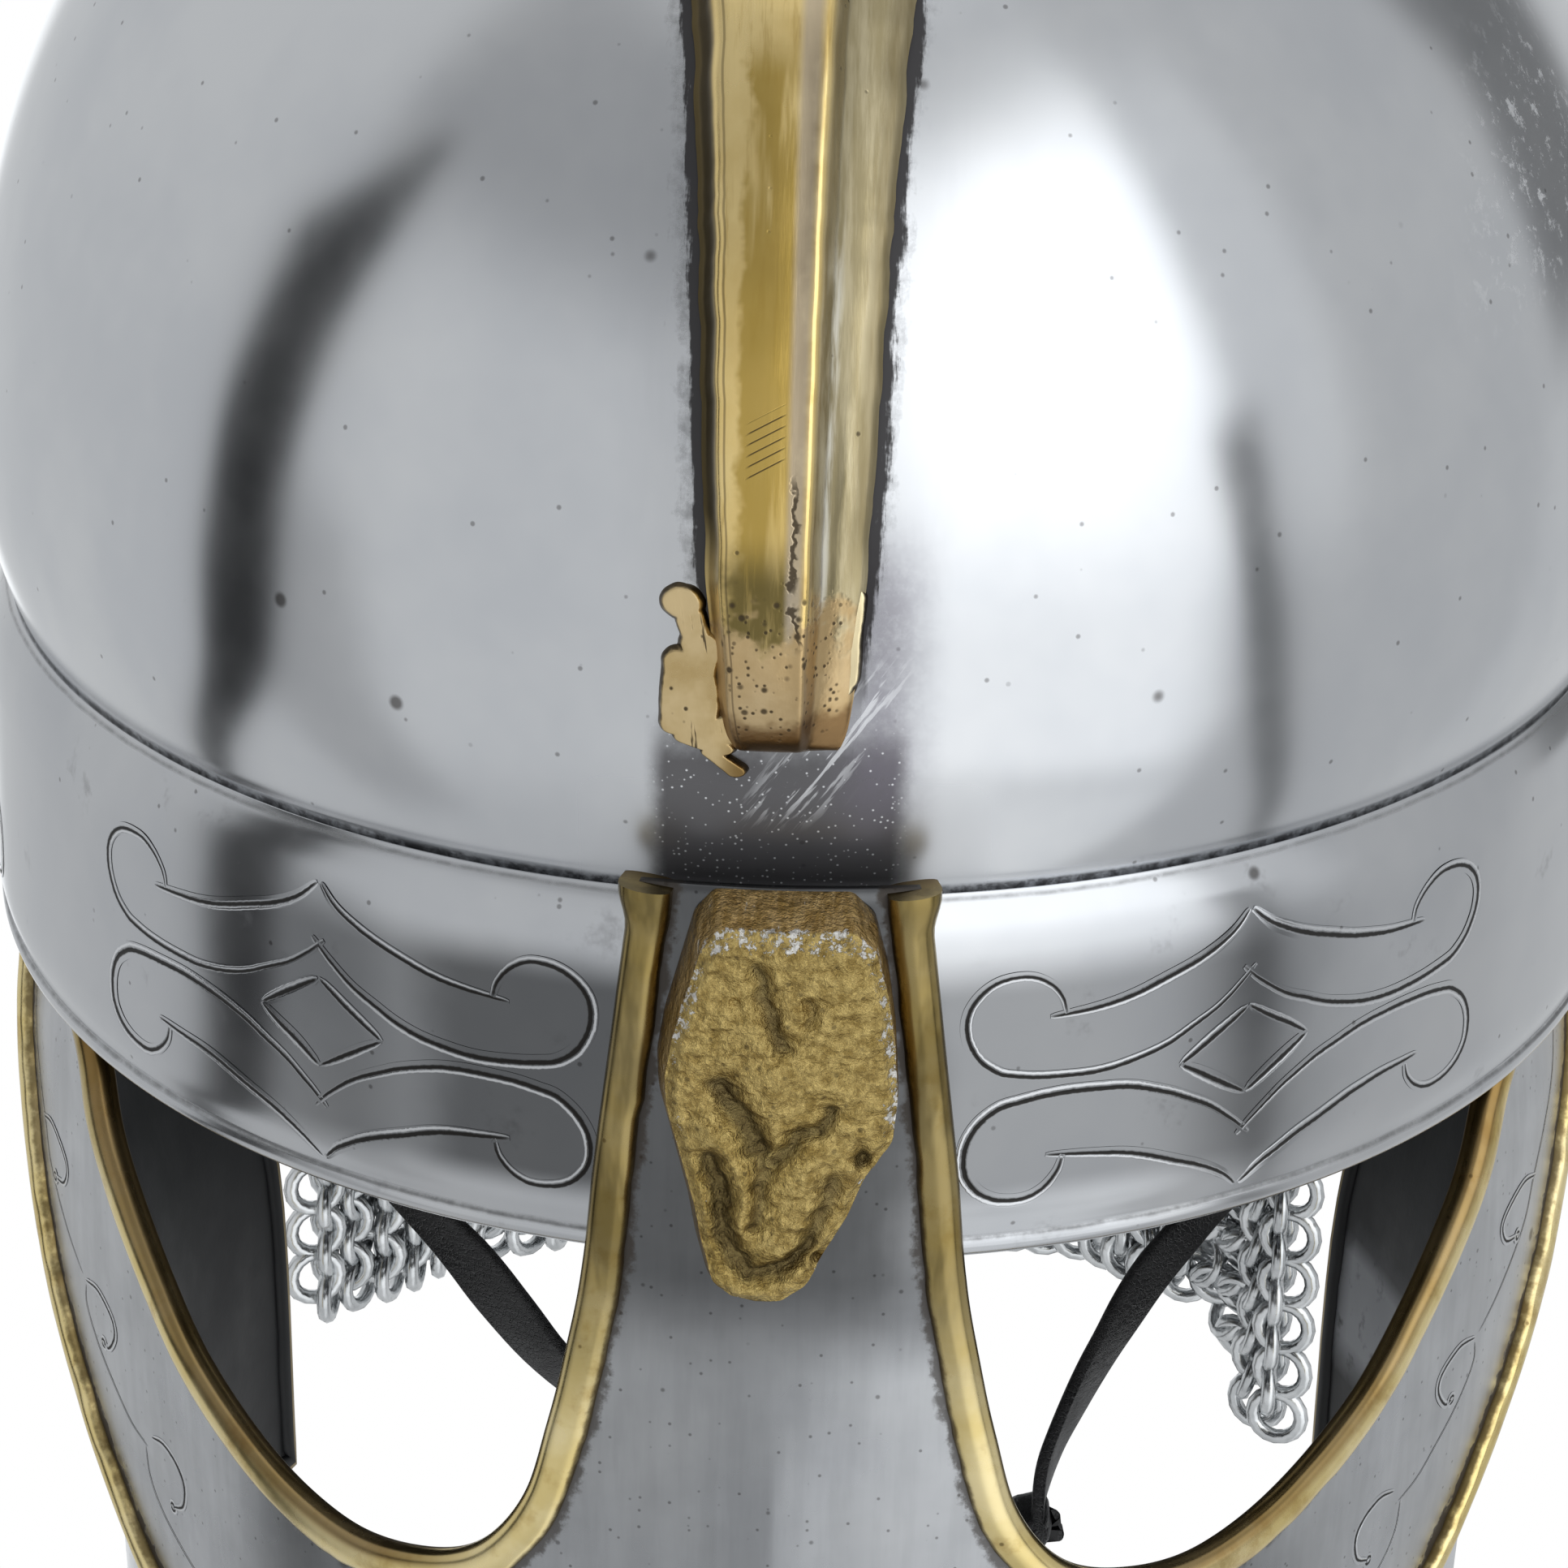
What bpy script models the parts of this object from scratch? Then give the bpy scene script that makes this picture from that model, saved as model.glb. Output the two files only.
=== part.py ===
"""A crusader helmet: a raised steel skull with a brass comb, an engraved brow band, a face mask whose
nasal carries a cast beast head, brass-bound eye openings, two cheek guards, a mail aventail and a
leather chin strap.

Metres, +Z up. The origin is on the skull's axis at the level of the brow band's lower edge. The face
looks along -Y, and the wearer's left is at +X.
"""

import math

import bmesh
import bpy
from mathutils import Vector

# Driving dimensions
CLEARANCE = 0.0003
BAND_HALF_WIDTH = 0.104
BAND_HALF_LENGTH = 0.1216
BAND_HEIGHT = 0.0432
BAND_WALL = 0.0016
BAND_LIP = 0.0029
SKULL_RISE = 0.1290
SKULL_WALL = 0.0016
SKULL_BULGE = 0.0040
SKULL_BULGE_RISE = 0.0200
SKULL_SKIRT = 0.0140
COMB_HALF_WIDTH = 0.0155
COMB_HEIGHT = 0.0070
COMB_END_TURN = 4.0
COMB_EDGE = 0.0006
MASK_WALL = 0.0012
MASK_DROP = 0.1230
MASK_TOP_RISE = 0.0030
MASK_TAB_RISE = 0.0200
NASAL_TOP_TURN = 8.1
NASAL_FOOT_TURN = 10.9
EYE_CORNER_TURN = 58.2
EYE_DEPTH = 0.0426
RIM_TURN = 77.0
BINDING_WALL = 0.0006
EYE_BINDING_LEG = 0.0037
EDGE_BINDING_LEG = 0.0026
ORNAMENT_HALF_WIDTH = 0.0128
ORNAMENT_LENGTH = 0.0480
ORNAMENT_HEIGHT = 0.0066
GUARD_WALL = 0.0012
GUARD_DROP = 0.1250
GUARD_REAR = 0.0510
GUARD_SETBACK = 0.0042
GUARD_TAB_RISE = 0.0180
MAIL_THICKNESS = 0.0040
MAIL_DROP = 0.1170
MAIL_TAB_RISE = 0.0120
MAIL_START = 0.0720
MAIL_RIPPLE = 0.0012
MAIL_CORNER_DROP = 0.0170
MAIL_CORNER_FROM = 0.86
MAIL_CORNER_TO = 0.93
STRAP_WIDTH = 0.0100
STRAP_THICKNESS = 0.0018
STRAP_PLACE = 0.0180
STRAP_CLEARANCE = 0.0006
RIVET_DROP = 0.0120
RIVET_RADIUS = 0.0020
RIVET_HEAD_RADIUS = 0.0038
RIVET_HEAD_HEIGHT = 0.0016
BUCKLE_WIRE = 0.0009
BUCKLE_LENGTH = 0.0096
BUCKLE_TILT = 45.0

# Mesh fineness
SKULL_SEGMENTS = 36
BAND_SEGMENTS = 44
SKULL_RINGS = 9
MASK_STEPS = 2
MASK_COLUMNS = 4
GUARD_ROWS = 9
GUARD_STEPS = 2
BUCKLE_SIDES = 6
RIVET_SIDES = 8
COMB_STATIONS = 32
MAIL_COLUMNS = 28
MAIL_ROWS = 6
MAIL_FOLDS = 7

STEEL = (0.56, 0.57, 0.59, 1.0)
BRASS = (0.62, 0.47, 0.20, 1.0)
GILT = (0.50, 0.34, 0.08, 1.0)
BLACK_PAINT = (0.03, 0.03, 0.03, 1.0)
LEATHER = (0.02, 0.02, 0.02, 1.0)

# The band's outer side from its lower edge to the seam: inset as a share of the lip, rise of the height
BAND_SECTION = (
    # inset, rise
    (0.62, 0.000),
    (0.20, 0.030),
    (0.26, 0.062),
    (0.06, 0.120),
    (0.00, 0.240),
    (0.00, 0.780),
    (0.24, 0.890),
    (0.62, 0.960),
    (1.00, 1.000),
)

# The eye opening's edge from the nasal's top round to the temple tab, and the mask's other edge
# beside it. A turn between the nasal's foot and the eye's corner is an eye share, the rim's turn is a
# share of RIM_TURN, and drops are shares of EYE_DEPTH and MASK_DROP.
EYE_SHARES = (
    # across, drop
    (0.024, 0.31),
    (0.044, 0.50),
    (0.070, 0.70),
    (0.112, 0.85),
    (0.165, 0.945),
    (0.240, 0.99),
    (0.330, 1.00),
    (0.425, 0.96),
    (0.525, 0.885),
    (0.665, 0.745),
    (0.765, 0.585),
    (0.850, 0.42),
    (0.920, 0.25),
    (0.985, 0.04),
)
CENTRE_DROPS = (0.00, 0.11, 0.22, 0.36, 0.54, 0.76)
RIM_SHARES = (
    # turn, drop
    (0.000, 1.000),
    (0.185, 0.965),
    (0.355, 0.875),
    (0.505, 0.755),
    (0.640, 0.625),
    (0.735, 0.515),
    (0.810, 0.405),
    (0.880, 0.280),
    (0.945, 0.135),
)
TAB_LEAN = 3.0

# How the mask and the guards draw in towards the chin
MASK_SECTIONS = (
    # drop, side inset, front inset, as shares of the mask's drop and the band's half sizes
    (0.00, 0.0000, 0.000),
    (0.04, 0.0000, 0.000),
    (0.13, -0.0120, 0.000),
    (0.33, -0.0120, 0.000),
    (0.57, 0.0180, 0.004),
    (0.78, 0.0480, 0.024),
    (1.00, 0.0950, 0.075),
)
GUARD_SECTIONS = (
    # drop, side inset, length gain, shift forward, as shares of the drop and the half sizes
    (0.00, 0.000, 0.000, 0.000),
    (0.30, 0.028, 0.005, 0.024),
    (0.60, 0.098, 0.013, 0.060),
    (1.00, 0.118, 0.013, 0.060),
)
GUARD_HEM = (
    # place from front to rear, drop as a share of the guard's
    (0.00, 0.60),
    (0.12, 0.76),
    (0.30, 0.90),
    (0.60, 0.98),
    (0.82, 1.00),
    (1.00, 1.00),
)

# The comb across: place as a share of its half width, rise of its height
COMB_SECTION = (
    # across, rise
    (-1.00, 0.10),
    (-0.88, 0.16),
    (-0.80, 0.80),
    (-0.66, 1.00),
    (-0.14, 1.06),
    (0.34, 1.00),
    (0.46, 0.74),
    (0.66, 0.38),
    (0.88, 0.20),
    (1.00, 0.10),
)
COMB_LENGTHWISE = (
    # turn up from the front of the skull in degrees, half width, height
    (-4.0, 0.54, 0.24),
    (1.0, 0.64, 0.62),
    (6.0, 0.63, 0.92),
    (13.0, 0.55, 1.00),
    (26.0, 0.59, 1.00),
    (40.0, 0.70, 1.00),
    (55.0, 0.93, 1.00),
    (68.0, 1.00, 1.00),
    (90.0, 1.00, 1.00),
)

# The beast head's outline from its crown down one side, and the relief of its face
ORNAMENT_OUTLINE = (
    # half width, drop, as shares of the ornament's half width and length
    (0.30, 0.000),
    (0.72, 0.020),
    (0.88, 0.130),
    (0.94, 0.250),
    (1.00, 0.400),
    (0.98, 0.520),
    (0.82, 0.650),
    (0.66, 0.790),
    (0.50, 0.910),
    (0.24, 0.985),
)
ORNAMENT_RINGS = (
    # outline share, height
    (0.15, 0.00),
    (0.45, 0.00),
    (0.75, 0.00),
    (1.00, 0.00),
    (0.97, 0.62),
    (0.84, 0.96),
    (0.60, 1.00),
    (0.34, 1.00),
    (0.12, 1.00),
)
ORNAMENT_RELIEF = (
    # across, drop, reach, depth, as shares of the half width, the length, the length and the height
    (-0.36, 0.47, 0.085, -0.30),
    (0.44, 0.49, 0.085, -0.30),
    (0.04, 0.60, 0.090, 0.22),
    (0.02, 0.80, 0.070, -0.22),
    (0.05, 0.22, 0.060, -0.18),
)

# The chin strap from its seat on the guard to the buckle: places as shares of the band's half width
# and length and of the guard's drop, and the ribbon's turn about its own line in degrees
STRAP_ROUTE_RIGHT = (
    # across, back, drop, twist
    (0.872, 0.147, 0.240, 5.0),
    (0.820, 0.146, 0.288, 4.0),
    (0.745, 0.145, 0.340, 12.0),
    (0.600, 0.140, 0.445, 42.0),
    (0.460, 0.130, 0.555, 60.0),
    (0.330, 0.115, 0.690, 58.0),
    (0.130, 0.075, 0.795, 34.0),
    (-0.080, 0.050, 0.845, 8.0),
)
STRAP_ROUTE_LEFT = (
    # across, back, drop, twist
    (0.872, 0.147, 0.240, 9.0),
    (0.820, 0.146, 0.284, 12.0),
    (0.745, 0.145, 0.330, 24.0),
    (0.600, 0.140, 0.430, 44.0),
    (0.470, 0.130, 0.540, 44.0),
    (0.385, 0.110, 0.650, 16.0),
    (0.338, 0.070, 0.755, 2.0),
)
STRAP_SEAT_STOPS = (0.30, 1.00, 1.70)
BUCKLE_PLACE = (0.265, 0.040, 0.868)
STRAP_TAIL = (
    # across, back, drop
    (0.322, 0.036, 0.918),
    (0.365, 0.030, 0.985),
)
STRAP_STEPS = 3

# How far apart a surface is sampled for its slope: along its lengths, and along its turns in degrees
SLOPE_STEP = 0.001
TURN_STEP = 0.5


def clear_scene():
    for item in list(bpy.data.objects):
        bpy.data.objects.remove(item, do_unlink=True)


def material(name, colour, metallic, roughness):
    made = bpy.data.materials.new(name)
    made.use_nodes = True
    shader = made.node_tree.nodes["Principled BSDF"]
    shader.inputs["Base Color"].default_value = colour
    shader.inputs["Metallic"].default_value = metallic
    shader.inputs["Roughness"].default_value = roughness
    return made


def make_object(name, points, faces, finish):
    """A named mesh object, its faces turned outwards and its round sides shaded smooth."""
    mesh = bpy.data.meshes.new(name)
    mesh.from_pydata([tuple(p) for p in points], [], faces)
    work = bmesh.new()
    work.from_mesh(mesh)
    bmesh.ops.remove_doubles(work, verts=work.verts, dist=1e-6)
    bmesh.ops.recalc_face_normals(work, faces=work.faces)
    work.to_mesh(mesh)
    work.free()
    mesh.shade_smooth()
    mesh.set_sharp_from_angle(angle=math.radians(34))
    mesh.materials.append(finish)
    made = bpy.data.objects.new(name, mesh)
    bpy.context.scene.collection.objects.link(made)
    return made


def tube_faces(rows, columns, ring=False):
    """Quads between successive closed rows of points, with the ends capped unless the rows are a ring."""
    faces = []
    for row in range(rows if ring else rows - 1):
        after = (row + 1) % rows
        for column in range(columns):
            beside = (column + 1) % columns
            here, there = row * columns, after * columns
            faces.append((here + column, here + beside, there + beside, there + column))
    if not ring:
        faces.append(tuple(range(columns)))
        faces.append(tuple(range((rows - 1) * columns, rows * columns)))
    return faces


def make_tube(name, rows, finish, ring=False):
    points = [point for row in rows for point in row]
    return make_object(name, points, tube_faces(len(rows), len(rows[0]), ring), finish)


def plate_mesh(front, back, seam=None):
    """Points and faces of a plate from the grids of its two sides. An edge on the seam stays open."""
    rows, columns = len(front), len(front[0])
    points = [p for row in front for p in row] + [p for row in back for p in row]
    other = rows * columns
    faces = []
    for row in range(rows - 1):
        for column in range(columns - 1):
            first = row * columns + column
            quad = (first, first + 1, first + columns + 1, first + columns)
            faces.append(quad)
            faces.append(tuple(other + corner for corner in reversed(quad)))
    border = [row * columns for row in range(rows)]
    border += [(rows - 1) * columns + column for column in range(1, columns)]
    border += [row * columns + columns - 1 for row in range(rows - 2, -1, -1)]
    border += list(range(columns - 2, 0, -1))
    for here, after in zip(border, border[1:] + border[:1]):
        if seam and seam(points[here]) and seam(points[after]):
            continue
        faces.append((here, after, other + after, other + here))
    return points, faces


def make_plate(name, front, back, finish):
    points, faces = plate_mesh(front, back)
    return make_object(name, points, faces, finish)


def curve_through(rows, steps):
    """A smooth curve through rows of numbers, with this many steps between neighbours."""
    ends = [[2 * a - b for a, b in zip(rows[0], rows[1])]]
    ends += [list(row) for row in rows]
    ends += [[2 * a - b for a, b in zip(rows[-1], rows[-2])]]
    found = []
    for index in range(1, len(ends) - 2):
        before, here, after, beyond = ends[index - 1 : index + 3]
        for step in range(steps):
            t = step / steps
            row = []
            for p, q, r, s in zip(before, here, after, beyond):
                square, cube = 2 * p - 5 * q + 4 * r - s, 3 * q - p - 3 * r + s
                row.append(0.5 * (2 * q + (r - p) * t + square * t**2 + cube * t**3))
            found.append(row)
    found.append(list(rows[-1]))
    return found


def read_table(table, place):
    """The row of a table at a place in its first column, straight between rows."""
    if place <= table[0][0]:
        return table[0][1:]
    for low, high in zip(table, table[1:]):
        if place <= high[0]:
            share = (place - low[0]) / (high[0] - low[0])
            return [a + (b - a) * share for a, b in zip(low[1:], high[1:])]
    return table[-1][1:]


def blend(low, high, value):
    share = min(1.0, max(0.0, (value - low) / (high - low)))
    return share * share * (3 - 2 * share)


# Plan curves: a turn of 0 is the front, and it grows towards the wearer's left at +X
def plan_point(half_width, half_length, turn, out, height):
    angle = math.radians(turn)
    normal = Vector((math.sin(angle) / half_width, -math.cos(angle) / half_length, 0)).normalized()
    on_curve = Vector((half_width * math.sin(angle), -half_length * math.cos(angle), height))
    return on_curve + normal * out


def ring_of(inset, height, segments):
    return [
        plan_point(BAND_HALF_WIDTH, BAND_HALF_LENGTH, 360 * k / segments, -inset, height)
        for k in range(segments)
    ]


SEAM_INSET = BAND_LIP + CLEARANCE
SEAM_HALF_WIDTH = BAND_HALF_WIDTH - SEAM_INSET
SEAM_HALF_LENGTH = BAND_HALF_LENGTH - SEAM_INSET
SKULL_HALF_WIDTH = SEAM_HALF_WIDTH + SKULL_BULGE
SKULL_HALF_LENGTH = SEAM_HALF_LENGTH + SKULL_BULGE
SKULL_MIDDLE = BAND_HEIGHT + SKULL_BULGE_RISE
SKULL_CROWN = SKULL_RISE - SKULL_BULGE_RISE
SKULL_SHARE = SEAM_HALF_WIDTH / SKULL_HALF_WIDTH
SKULL_BELLY = SKULL_BULGE_RISE / math.sqrt(1 - SKULL_SHARE**2)
CROWN_SHARE = 0.3


def skull_turns():
    """Turns up the skull's side: from the seam through its widest ring to the crown."""
    seam_turn = -math.degrees(math.asin(SKULL_BULGE_RISE / SKULL_BELLY))
    return [seam_turn, 0.5 * seam_turn] + [90 * k / SKULL_RINGS for k in range(SKULL_RINGS)]


def skull_level(turn):
    """Spread as a share of the skull's half sizes, and height, at this turn up its side."""
    angle = math.radians(turn)
    reach = SKULL_CROWN if turn >= 0 else SKULL_BELLY
    return math.cos(angle), SKULL_MIDDLE + reach * math.sin(angle)


def skull_over(across, turn, out):
    """A point over the skull along its middle line: from the front at 0 to the back at 180."""
    low = turn < 0 or turn > 180
    reach = SKULL_BELLY if low else SKULL_CROWN
    angle = math.radians(turn)
    shrink = math.sqrt(1 - (across / SKULL_HALF_WIDTH) ** 2)
    y = -SKULL_HALF_LENGTH * math.cos(angle) * shrink
    rise = reach * math.sin(angle) * shrink
    normal = Vector((across / SKULL_HALF_WIDTH**2, y / SKULL_HALF_LENGTH**2, rise / reach**2)).normalized()
    return Vector((across, y, SKULL_MIDDLE + rise)) + normal * out


def skull_ring(share, height, inset):
    half_width, half_length = SKULL_HALF_WIDTH * share, SKULL_HALF_LENGTH * share
    return [
        plan_point(half_width, half_length, 360 * k / SKULL_SEGMENTS, -inset, height)
        for k in range(SKULL_SEGMENTS)
    ]


def skull_shell(levels, inset):
    """Rings up one side of the skull's wall, and the point at its crown."""
    points = []
    for share, height in levels:
        points += skull_ring(share, height, inset * max(share, CROWN_SHARE))
    points.append(Vector((0, 0, SKULL_MIDDLE + SKULL_CROWN - inset)))
    return points


def make_skull(finish):
    """The skull: a skirt inside the band, a belly just above it and a dome, with one even wall."""
    outer = [(SKULL_SHARE, BAND_HEIGHT - SKULL_SKIRT)] + [skull_level(turn) for turn in skull_turns()]
    thinner = (SKULL_CROWN - SKULL_WALL) / SKULL_CROWN
    inner = [
        (share, height if height <= SKULL_MIDDLE else SKULL_MIDDLE + (height - SKULL_MIDDLE) * thinner)
        for share, height in outer
    ]
    points = skull_shell(outer, 0.0)
    start = len(points)
    points += skull_shell(inner, SKULL_WALL)
    faces = []
    for base in (0, start):
        for row in range(len(outer) - 1):
            low = base + row * SKULL_SEGMENTS
            for k in range(SKULL_SEGMENTS):
                after = (k + 1) % SKULL_SEGMENTS
                faces.append((low + k, low + after, low + SKULL_SEGMENTS + after, low + SKULL_SEGMENTS + k))
        last = base + (len(outer) - 1) * SKULL_SEGMENTS
        crown = base + len(outer) * SKULL_SEGMENTS
        faces += [(last + k, last + (k + 1) % SKULL_SEGMENTS, crown) for k in range(SKULL_SEGMENTS)]
    for k in range(SKULL_SEGMENTS):
        after = (k + 1) % SKULL_SEGMENTS
        faces.append((k, after, start + after, start + k))
    return make_object("skull_dome", points, faces, finish)


def make_band(finish):
    """The brow band: a rolled lower hem, an upright face and a shoulder that closes on the skull."""
    outer = [Vector((inset * BAND_LIP, rise * BAND_HEIGHT)) for inset, rise in BAND_SECTION]
    inner = []
    for index, point in enumerate(outer):
        run = outer[min(index + 1, len(outer) - 1)] - outer[max(index - 1, 0)]
        normal = Vector((run.y, -run.x)).normalized()
        moved = point + normal * BAND_WALL
        inner.append(Vector((min(moved.x, BAND_LIP), max(moved.y, point.y - BAND_WALL))))
    section = outer + inner[::-1]
    rows = [ring_of(point.x, point.y, BAND_SEGMENTS) for point in section]
    return make_tube("brow_band", rows, finish, ring=True)


def comb_row(turn, share, rise):
    """One section across the comb: its top from side to side, then its seat back over the skull."""
    half = COMB_HALF_WIDTH * share
    top = [
        skull_over(half * across, turn, CLEARANCE + max(COMB_HEIGHT * up * rise, COMB_EDGE))
        for across, up in COMB_SECTION
    ]
    seat = [skull_over(half * across, turn, CLEARANCE) for across in (1.0, 0.5, 0.0, -0.5, -1.0)]
    return top + seat


def make_comb(finish):
    rows = []
    first = -COMB_END_TURN
    span = 180 + 2 * COMB_END_TURN
    for k in range(COMB_STATIONS + 1):
        turn = first + span * k / COMB_STATIONS
        share, rise = read_table(COMB_LENGTHWISE, min(turn, 180 - turn))
        rows.append(comb_row(turn, share, rise))
    return make_tube("comb", rows, finish)


# The face mask stands off the band at the nasal and passes inside it at the temples
BINDING_STACK = MASK_WALL / 2 + CLEARANCE + BINDING_WALL
NASAL_STANDOFF = CLEARANCE + BINDING_STACK
TEMPLE_INSET = BAND_LIP + CLEARANCE + BINDING_STACK
NASAL_SIDE_TURN = 20.0
TEMPLE_SIDE_TURN = 52.0
SECTION_STEPS = 4
MASK_FORM = curve_through(MASK_SECTIONS, SECTION_STEPS)
GUARD_FORM = curve_through(GUARD_SECTIONS, SECTION_STEPS)


def mask_point(turn, height, out):
    """A point on the mask's middle surface, or this far outside it."""
    side, front = read_table(MASK_FORM, -height / MASK_DROP)
    passing = blend(NASAL_SIDE_TURN, TEMPLE_SIDE_TURN, abs(turn))
    offset = NASAL_STANDOFF * (1 - passing) - TEMPLE_INSET * passing
    return plan_point(
        BAND_HALF_WIDTH * (1 - side), BAND_HALF_LENGTH * (1 - front), turn, offset + out, height
    )


def eye_edge():
    """The eye opening's edge as turns and heights, from the nasal's top to the temple tab."""
    top = BAND_HEIGHT + MASK_TOP_RISE
    slope = NASAL_FOOT_TURN - NASAL_TOP_TURN
    rows = [
        (NASAL_TOP_TURN, top),
        (NASAL_TOP_TURN + 0.40 * slope, 0.62 * top),
        (NASAL_TOP_TURN + 0.78 * slope, 0.26 * top),
        (NASAL_FOOT_TURN, 0.0),
    ]
    spread = EYE_CORNER_TURN - NASAL_FOOT_TURN
    rows += [(NASAL_FOOT_TURN + across * spread, -drop * EYE_DEPTH) for across, drop in EYE_SHARES]
    rows += [
        (EYE_CORNER_TURN + TAB_LEAN, 0.5 * MASK_TAB_RISE),
        (EYE_CORNER_TURN + 2 * TAB_LEAN, MASK_TAB_RISE),
    ]
    return curve_through(rows, MASK_STEPS)


def rim_half():
    """The mask's outer edge from the chin up to the temple tab."""
    rows = [(turn * RIM_TURN, -drop * MASK_DROP) for turn, drop in RIM_SHARES]
    rows += [(RIM_TURN, 0.0), (RIM_TURN + TAB_LEAN, MASK_TAB_RISE)]
    return rows


def rim_edge():
    half = rim_half()
    whole = [(-turn, height) for turn, height in half[:0:-1]] + half
    return curve_through(whole, MASK_STEPS)


def far_edge():
    """The mask's edge beside the eye's: down the middle line to the chin, then up the rim."""
    top = BAND_HEIGHT + MASK_TOP_RISE
    heights = [top, 0.62 * top, 0.26 * top, 0.0] + [-drop * MASK_DROP for drop in CENTRE_DROPS[1:]]
    heights.append(-MASK_DROP)
    found = []
    for high, low in zip(heights, heights[1:]):
        found += [(0.0, high + (low - high) * step / MASK_STEPS) for step in range(MASK_STEPS)]
    rim = rim_edge()
    return found + rim[len(rim) // 2 :]


def make_mask(finish):
    near, far = eye_edge(), far_edge()
    sides = []
    for out in (MASK_WALL / 2, -MASK_WALL / 2):
        grid = []
        for (turn, height), (far_turn, far_height) in zip(near, far):
            shares = [column / MASK_COLUMNS for column in range(MASK_COLUMNS + 1)]
            grid.append(
                [
                    mask_point(turn + (far_turn - turn) * s, height + (far_height - height) * s, out)
                    for s in shares
                ]
            )
        sides.append(grid)
    points, faces = plate_mesh(sides[0], sides[1], seam=lambda p: abs(p.x) < 1e-7)
    mirrored = [Vector((-p.x, p.y, p.z)) for p in points]
    count = len(points)
    faces += [tuple(count + corner for corner in reversed(face)) for face in faces]
    return make_object("face_mask", points + mirrored, faces, finish)


def binding_section(wall, leg):
    """The folded strip's section: places in from the plate's edge, and out from its middle."""
    inner = wall / 2 + CLEARANCE
    outer = inner + BINDING_WALL
    fold = CLEARANCE + BINDING_WALL
    outside = [(leg, outer), (-fold, outer), (-fold, -outer), (leg, -outer)]
    slot = [(leg, -inner), (-CLEARANCE, -inner), (-CLEARANCE, inner), (leg, inner)]
    return outside + slot


def slopes(surface, u, v, step_u):
    """How a surface moves with each of its two places."""
    along_u = (surface(u + step_u, v, 0.0) - surface(u - step_u, v, 0.0)) / (2 * step_u)
    along_v = (surface(u, v + SLOPE_STEP, 0.0) - surface(u, v - SLOPE_STEP, 0.0)) / (2 * SLOPE_STEP)
    return along_u, along_v


def binding_rows(edge, surface, section, step_u, towards):
    """Mitred sections of a folded strip along a plate's edge, on a surface of two places and an offset."""
    spots = [surface(u, v, 0.0) for u, v in edge]
    rows = []
    for index, (u, v) in enumerate(edge):
        along_u, along_v = slopes(surface, u, v, step_u)
        normal = along_u.cross(along_v).normalized()
        sides = []
        for first in (max(index - 1, 0), min(index, len(edge) - 2)):
            run = spots[first + 1] - spots[first]
            sides.append(normal.cross(run).normalized() * towards)
        inward = (sides[0] + sides[1]) / (1 + sides[0].dot(sides[1]))
        uu, uv, vv = along_u.dot(along_u), along_u.dot(along_v), along_v.dot(along_v)
        right_u, right_v = along_u.dot(inward), along_v.dot(inward)
        det = uu * vv - uv * uv
        move_u = (right_u * vv - right_v * uv) / det
        move_v = (right_v * uu - right_u * uv) / det
        rows.append(
            [surface(u + place * move_u, v + place * move_v, out) for place, out in section]
        )
    return rows


def mirror_rows(rows):
    return [[Vector((-p.x, p.y, p.z)) for p in row] for row in rows]


def make_mask_bindings(finish):
    eye_section = binding_section(MASK_WALL, EYE_BINDING_LEG)
    rim_section = binding_section(MASK_WALL, EDGE_BINDING_LEG)
    rows = binding_rows(eye_edge(), mask_point, eye_section, TURN_STEP, -1.0)
    make_tube("eye_binding_left", rows, finish)
    make_tube("eye_binding_right", mirror_rows(rows), finish)
    make_tube("rim_binding", binding_rows(rim_edge(), mask_point, rim_section, TURN_STEP, 1.0), finish)


def ornament_height(across, drop):
    """The relief of the beast's face over its flat, as a share of the ornament's height."""
    rise = 0.0
    for centre, level, reach, depth in ORNAMENT_RELIEF:
        dx = (across - centre) * ORNAMENT_HALF_WIDTH
        dz = (drop - level) * ORNAMENT_LENGTH
        rise += depth * math.exp(-(dx * dx + dz * dz) / (reach * ORNAMENT_LENGTH) ** 2)
    return rise


def make_ornament(finish):
    """The cast beast head: a bevelled shield shape with raised relief, seated on the nasal plate."""
    right = [(width, drop) for width, drop in ORNAMENT_OUTLINE]
    outline = right + [(-width, drop) for width, drop in reversed(right)]
    centre_drop = 0.45
    top = BAND_HEIGHT + MASK_TOP_RISE
    seat = MASK_WALL / 2 + CLEARANCE

    def place(across, drop, rise):
        x = across * ORNAMENT_HALF_WIDTH
        turn = math.degrees(math.asin(x / (BAND_HALF_WIDTH + NASAL_STANDOFF)))
        return mask_point(turn, top - drop * ORNAMENT_LENGTH, seat + rise * ORNAMENT_HEIGHT)

    rows = []
    for share, height in ORNAMENT_RINGS:
        row = []
        for across, drop in outline:
            width, level = across * share, centre_drop + (drop - centre_drop) * share
            relief = ornament_height(width, level) if height > 0.9 else 0.0
            row.append(place(width, level, height + relief))
        rows.append(row)
    return make_tube("nasal_ornament", rows, finish)


GUARD_STACK = GUARD_WALL / 2 + CLEARANCE + BINDING_WALL


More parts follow.
